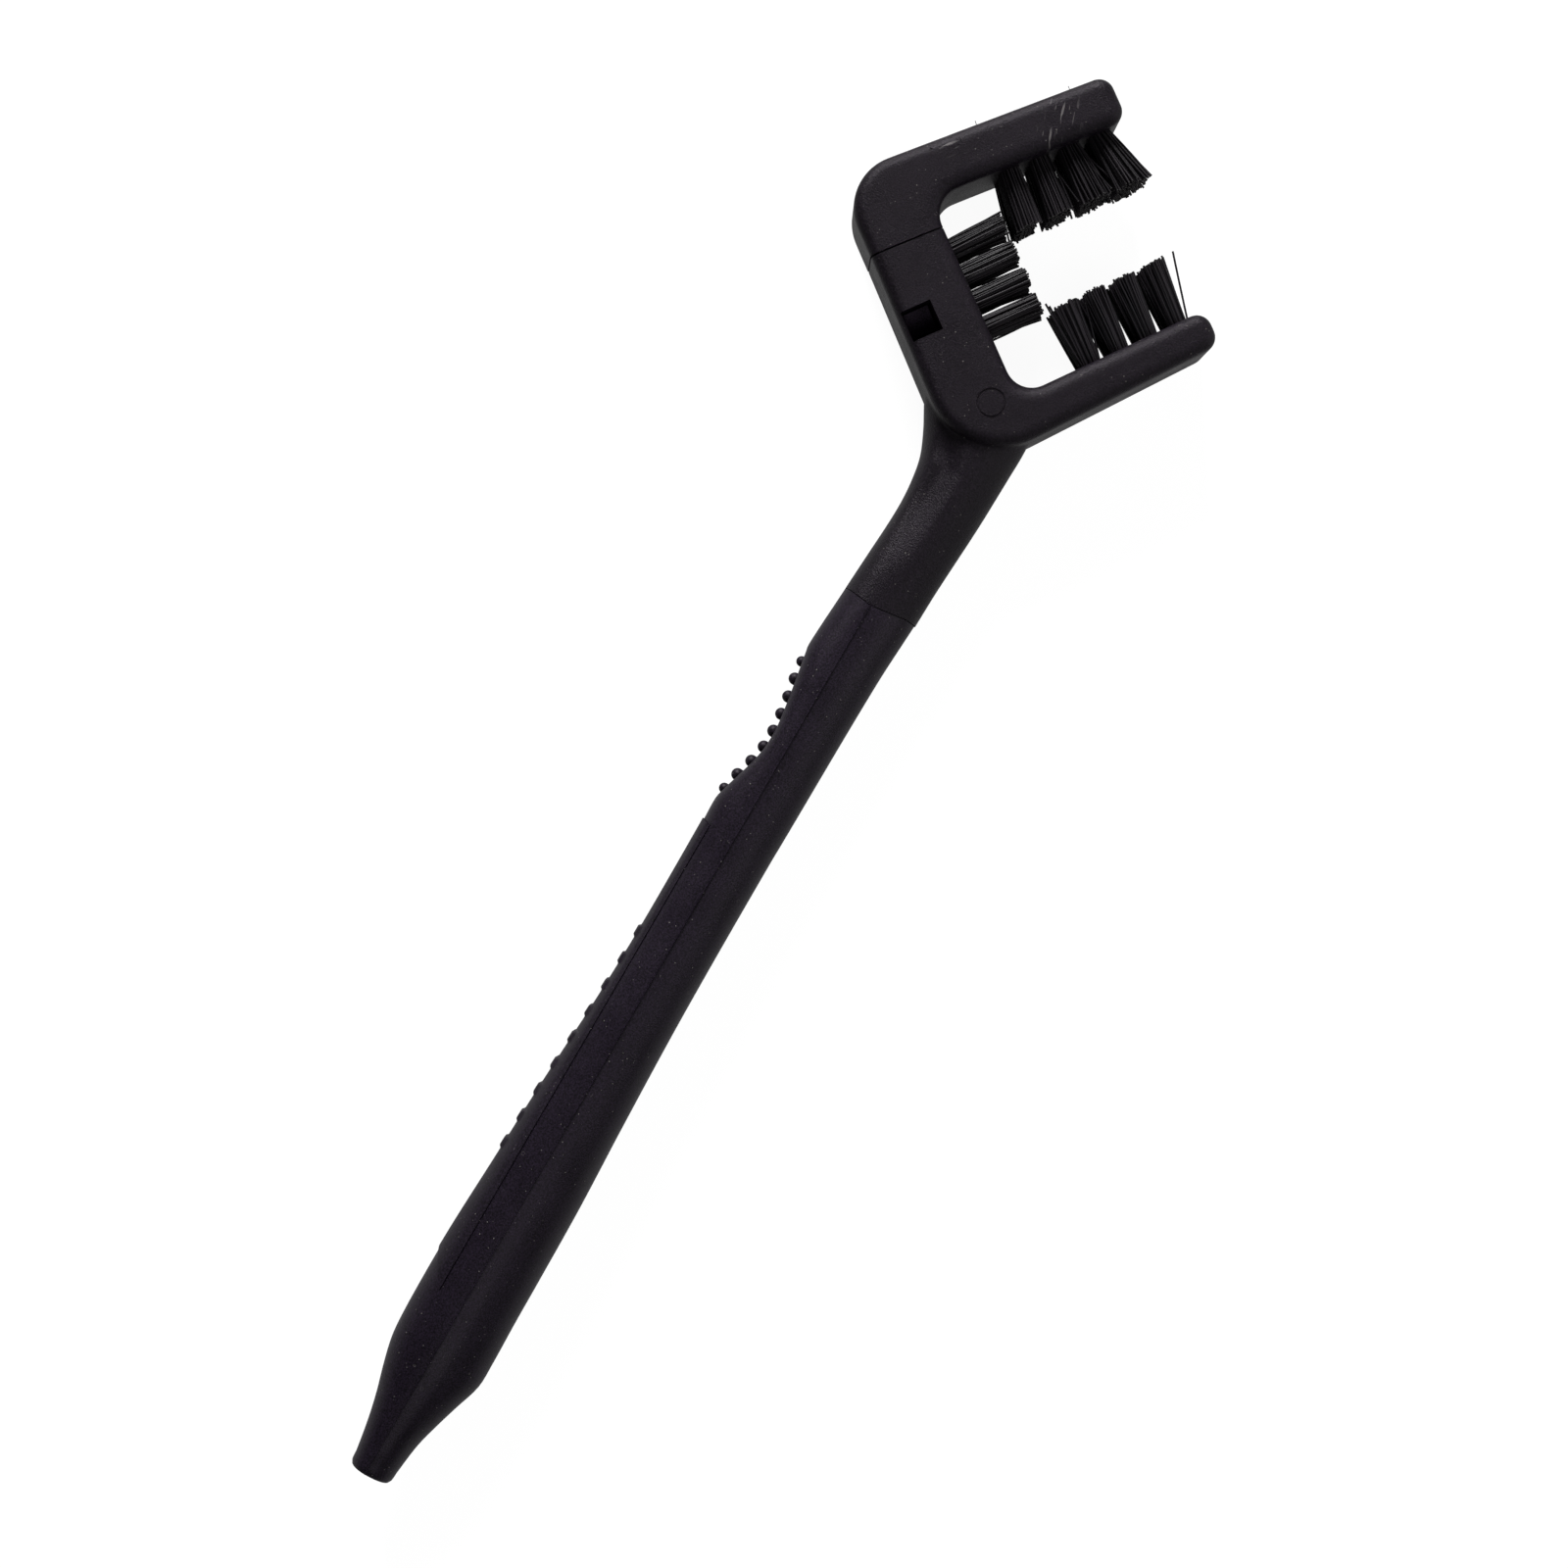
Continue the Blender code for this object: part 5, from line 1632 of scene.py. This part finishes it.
class BRUSH_OT_stage(bpy.types.Operator):
    """Sets the floor, the lamps, the sky and the camera"""

    bl_idname = "brush.stage"
    bl_label = "Stage"

    def execute(self, context):
        scene = context.scene
        settings = scene.brush_stage
        self.floor(settings)
        self.lamps(scene, settings)
        self.camera(scene, settings)
        scene.view_settings.view_transform = "Standard"
        return {"FINISHED"}

    def floor(self, settings):
        build = bmesh.new()
        bmesh.ops.create_grid(build, x_segments=1, y_segments=1, size=FLOOR_SIZE)
        floor = object_from("floor", build)
        material, tree, shader = principled("floor_white")
        shader.inputs["Base Color"].default_value = (*settings.floor, 1.0)
        shader.inputs["Roughness"].default_value = 0.9
        path = node(tree, "ShaderNodeLightPath").outputs
        mirrored = maths(tree, "MAXIMUM", path["Is Glossy Ray"], path["Is Transmission Ray"])
        seen = maths(tree, "MAXIMUM", path["Is Camera Ray"], times(tree, mirrored, MIRRORED_GLOW))
        glow = node(tree, "ShaderNodeEmission", {"Color": (1.0, 1.0, 1.0, 1.0), "Strength": FLOOR_GLOW})
        dark = node(tree, "ShaderNodeEmission", {"Strength": 0.0})
        lit = node(tree, "ShaderNodeMixShader", {0: seen, 1: dark.outputs[0], 2: glow.outputs[0]})
        both = node(tree, "ShaderNodeAddShader", {0: shader.outputs[0], 1: lit.outputs[0]})
        tree.links.new(both.outputs[0], tree.nodes["Material Output"].inputs["Surface"])
        floor.data.materials.append(material)

    def lamps(self, scene, settings):
        world = bpy.data.worlds.new("sky")
        scene.world = world
        world.use_nodes = True
        back = world.node_tree.nodes["Background"]
        back.inputs["Color"].default_value = (1.0, 1.0, 1.0, 1.0)
        back.inputs["Strength"].default_value = settings.sky
        for name, (place, extent) in LAMPS.items():
            lamp = bpy.data.lights.new(name, "AREA")
            lamp.energy = getattr(settings, name)
            lamp.size = extent
            obj = bpy.data.objects.new(name, lamp)
            obj.location = place
            obj.rotation_euler = (Vector(LAMP_TARGET) - Vector(place)).to_track_quat("-Z", "Y").to_euler()
            scene.collection.objects.link(obj)

    def camera(self, scene, settings):
        half, scale, away = PICTURE_SCALE
        camera = bpy.data.cameras.new("camera")
        camera.sensor_width = SENSOR_WIDTH
        camera.lens = SENSOR_WIDTH / 2 / (half / scale / away)
        camera.clip_start = 0.01
        obj = bpy.data.objects.new("camera", camera)
        axes = (CAMERA_RIGHT, CAMERA_UP, (0.0, 0.0, 1.0))
        place = Matrix([Vector(axis).normalized() for axis in axes]).transposed().to_4x4()
        place.translation = Vector((*CAMERA_PLACE, settings.distance))
        obj.matrix_world = place
        scene.collection.objects.link(obj)
        scene.camera = obj


class BRUSH_PT_panel(bpy.types.Panel):
    """Lists the pieces of the brush and their sizes"""

    bl_idname = "BRUSH_PT_panel"
    bl_label = "Chain Brush"
    bl_space_type = "VIEW_3D"
    bl_region_type = "UI"
    bl_category = "Chain Brush"

    def draw(self, context):
        layout = self.layout
        for label, group, operators in PANEL_ROWS:
            box = layout.box()
            box.label(text=label)
            settings = getattr(context.scene, group)
            for name in settings.__annotations__:
                box.prop(settings, name)
            for operator in operators:
                box.operator(operator.bl_idname)


PROPERTY_GROUPS = {
    "brush_head": BrushHead,
    "brush_bristles": BrushBristles,
    "brush_handle": BrushHandle,
    "brush_stage": BrushStage,
}
OPERATORS = (
    BRUSH_OT_head_frame,
    BRUSH_OT_snap_arm,
    BRUSH_OT_latch,
    BRUSH_OT_bristles,
    BRUSH_OT_shells,
    BRUSH_OT_thumb_pad,
    BRUSH_OT_grip_panel,
    BRUSH_OT_stage,
)
PANEL_ROWS = (
    ("Head", "brush_head", OPERATORS[:3]),
    ("Bristles", "brush_bristles", OPERATORS[3:4]),
    ("Handle", "brush_handle", OPERATORS[4:7]),
    ("Stage", "brush_stage", OPERATORS[7:]),
)


def register():
    for name, group in PROPERTY_GROUPS.items():
        bpy.utils.register_class(group)
        setattr(bpy.types.Scene, name, PointerProperty(type=group))
    for operator in OPERATORS:
        bpy.utils.register_class(operator)
    bpy.utils.register_class(BRUSH_PT_panel)


def unregister():
    bpy.utils.unregister_class(BRUSH_PT_panel)
    for operator in reversed(OPERATORS):
        bpy.utils.unregister_class(operator)
    for name, group in reversed(PROPERTY_GROUPS.items()):
        delattr(bpy.types.Scene, name)
        bpy.utils.unregister_class(group)


def main():
    register()
    make_finishes(bpy.context.scene)
    for operator in OPERATORS:
        group, name = operator.bl_idname.split(".")
        getattr(getattr(bpy.ops, group), name)()


if __name__ == "__main__":
    main()
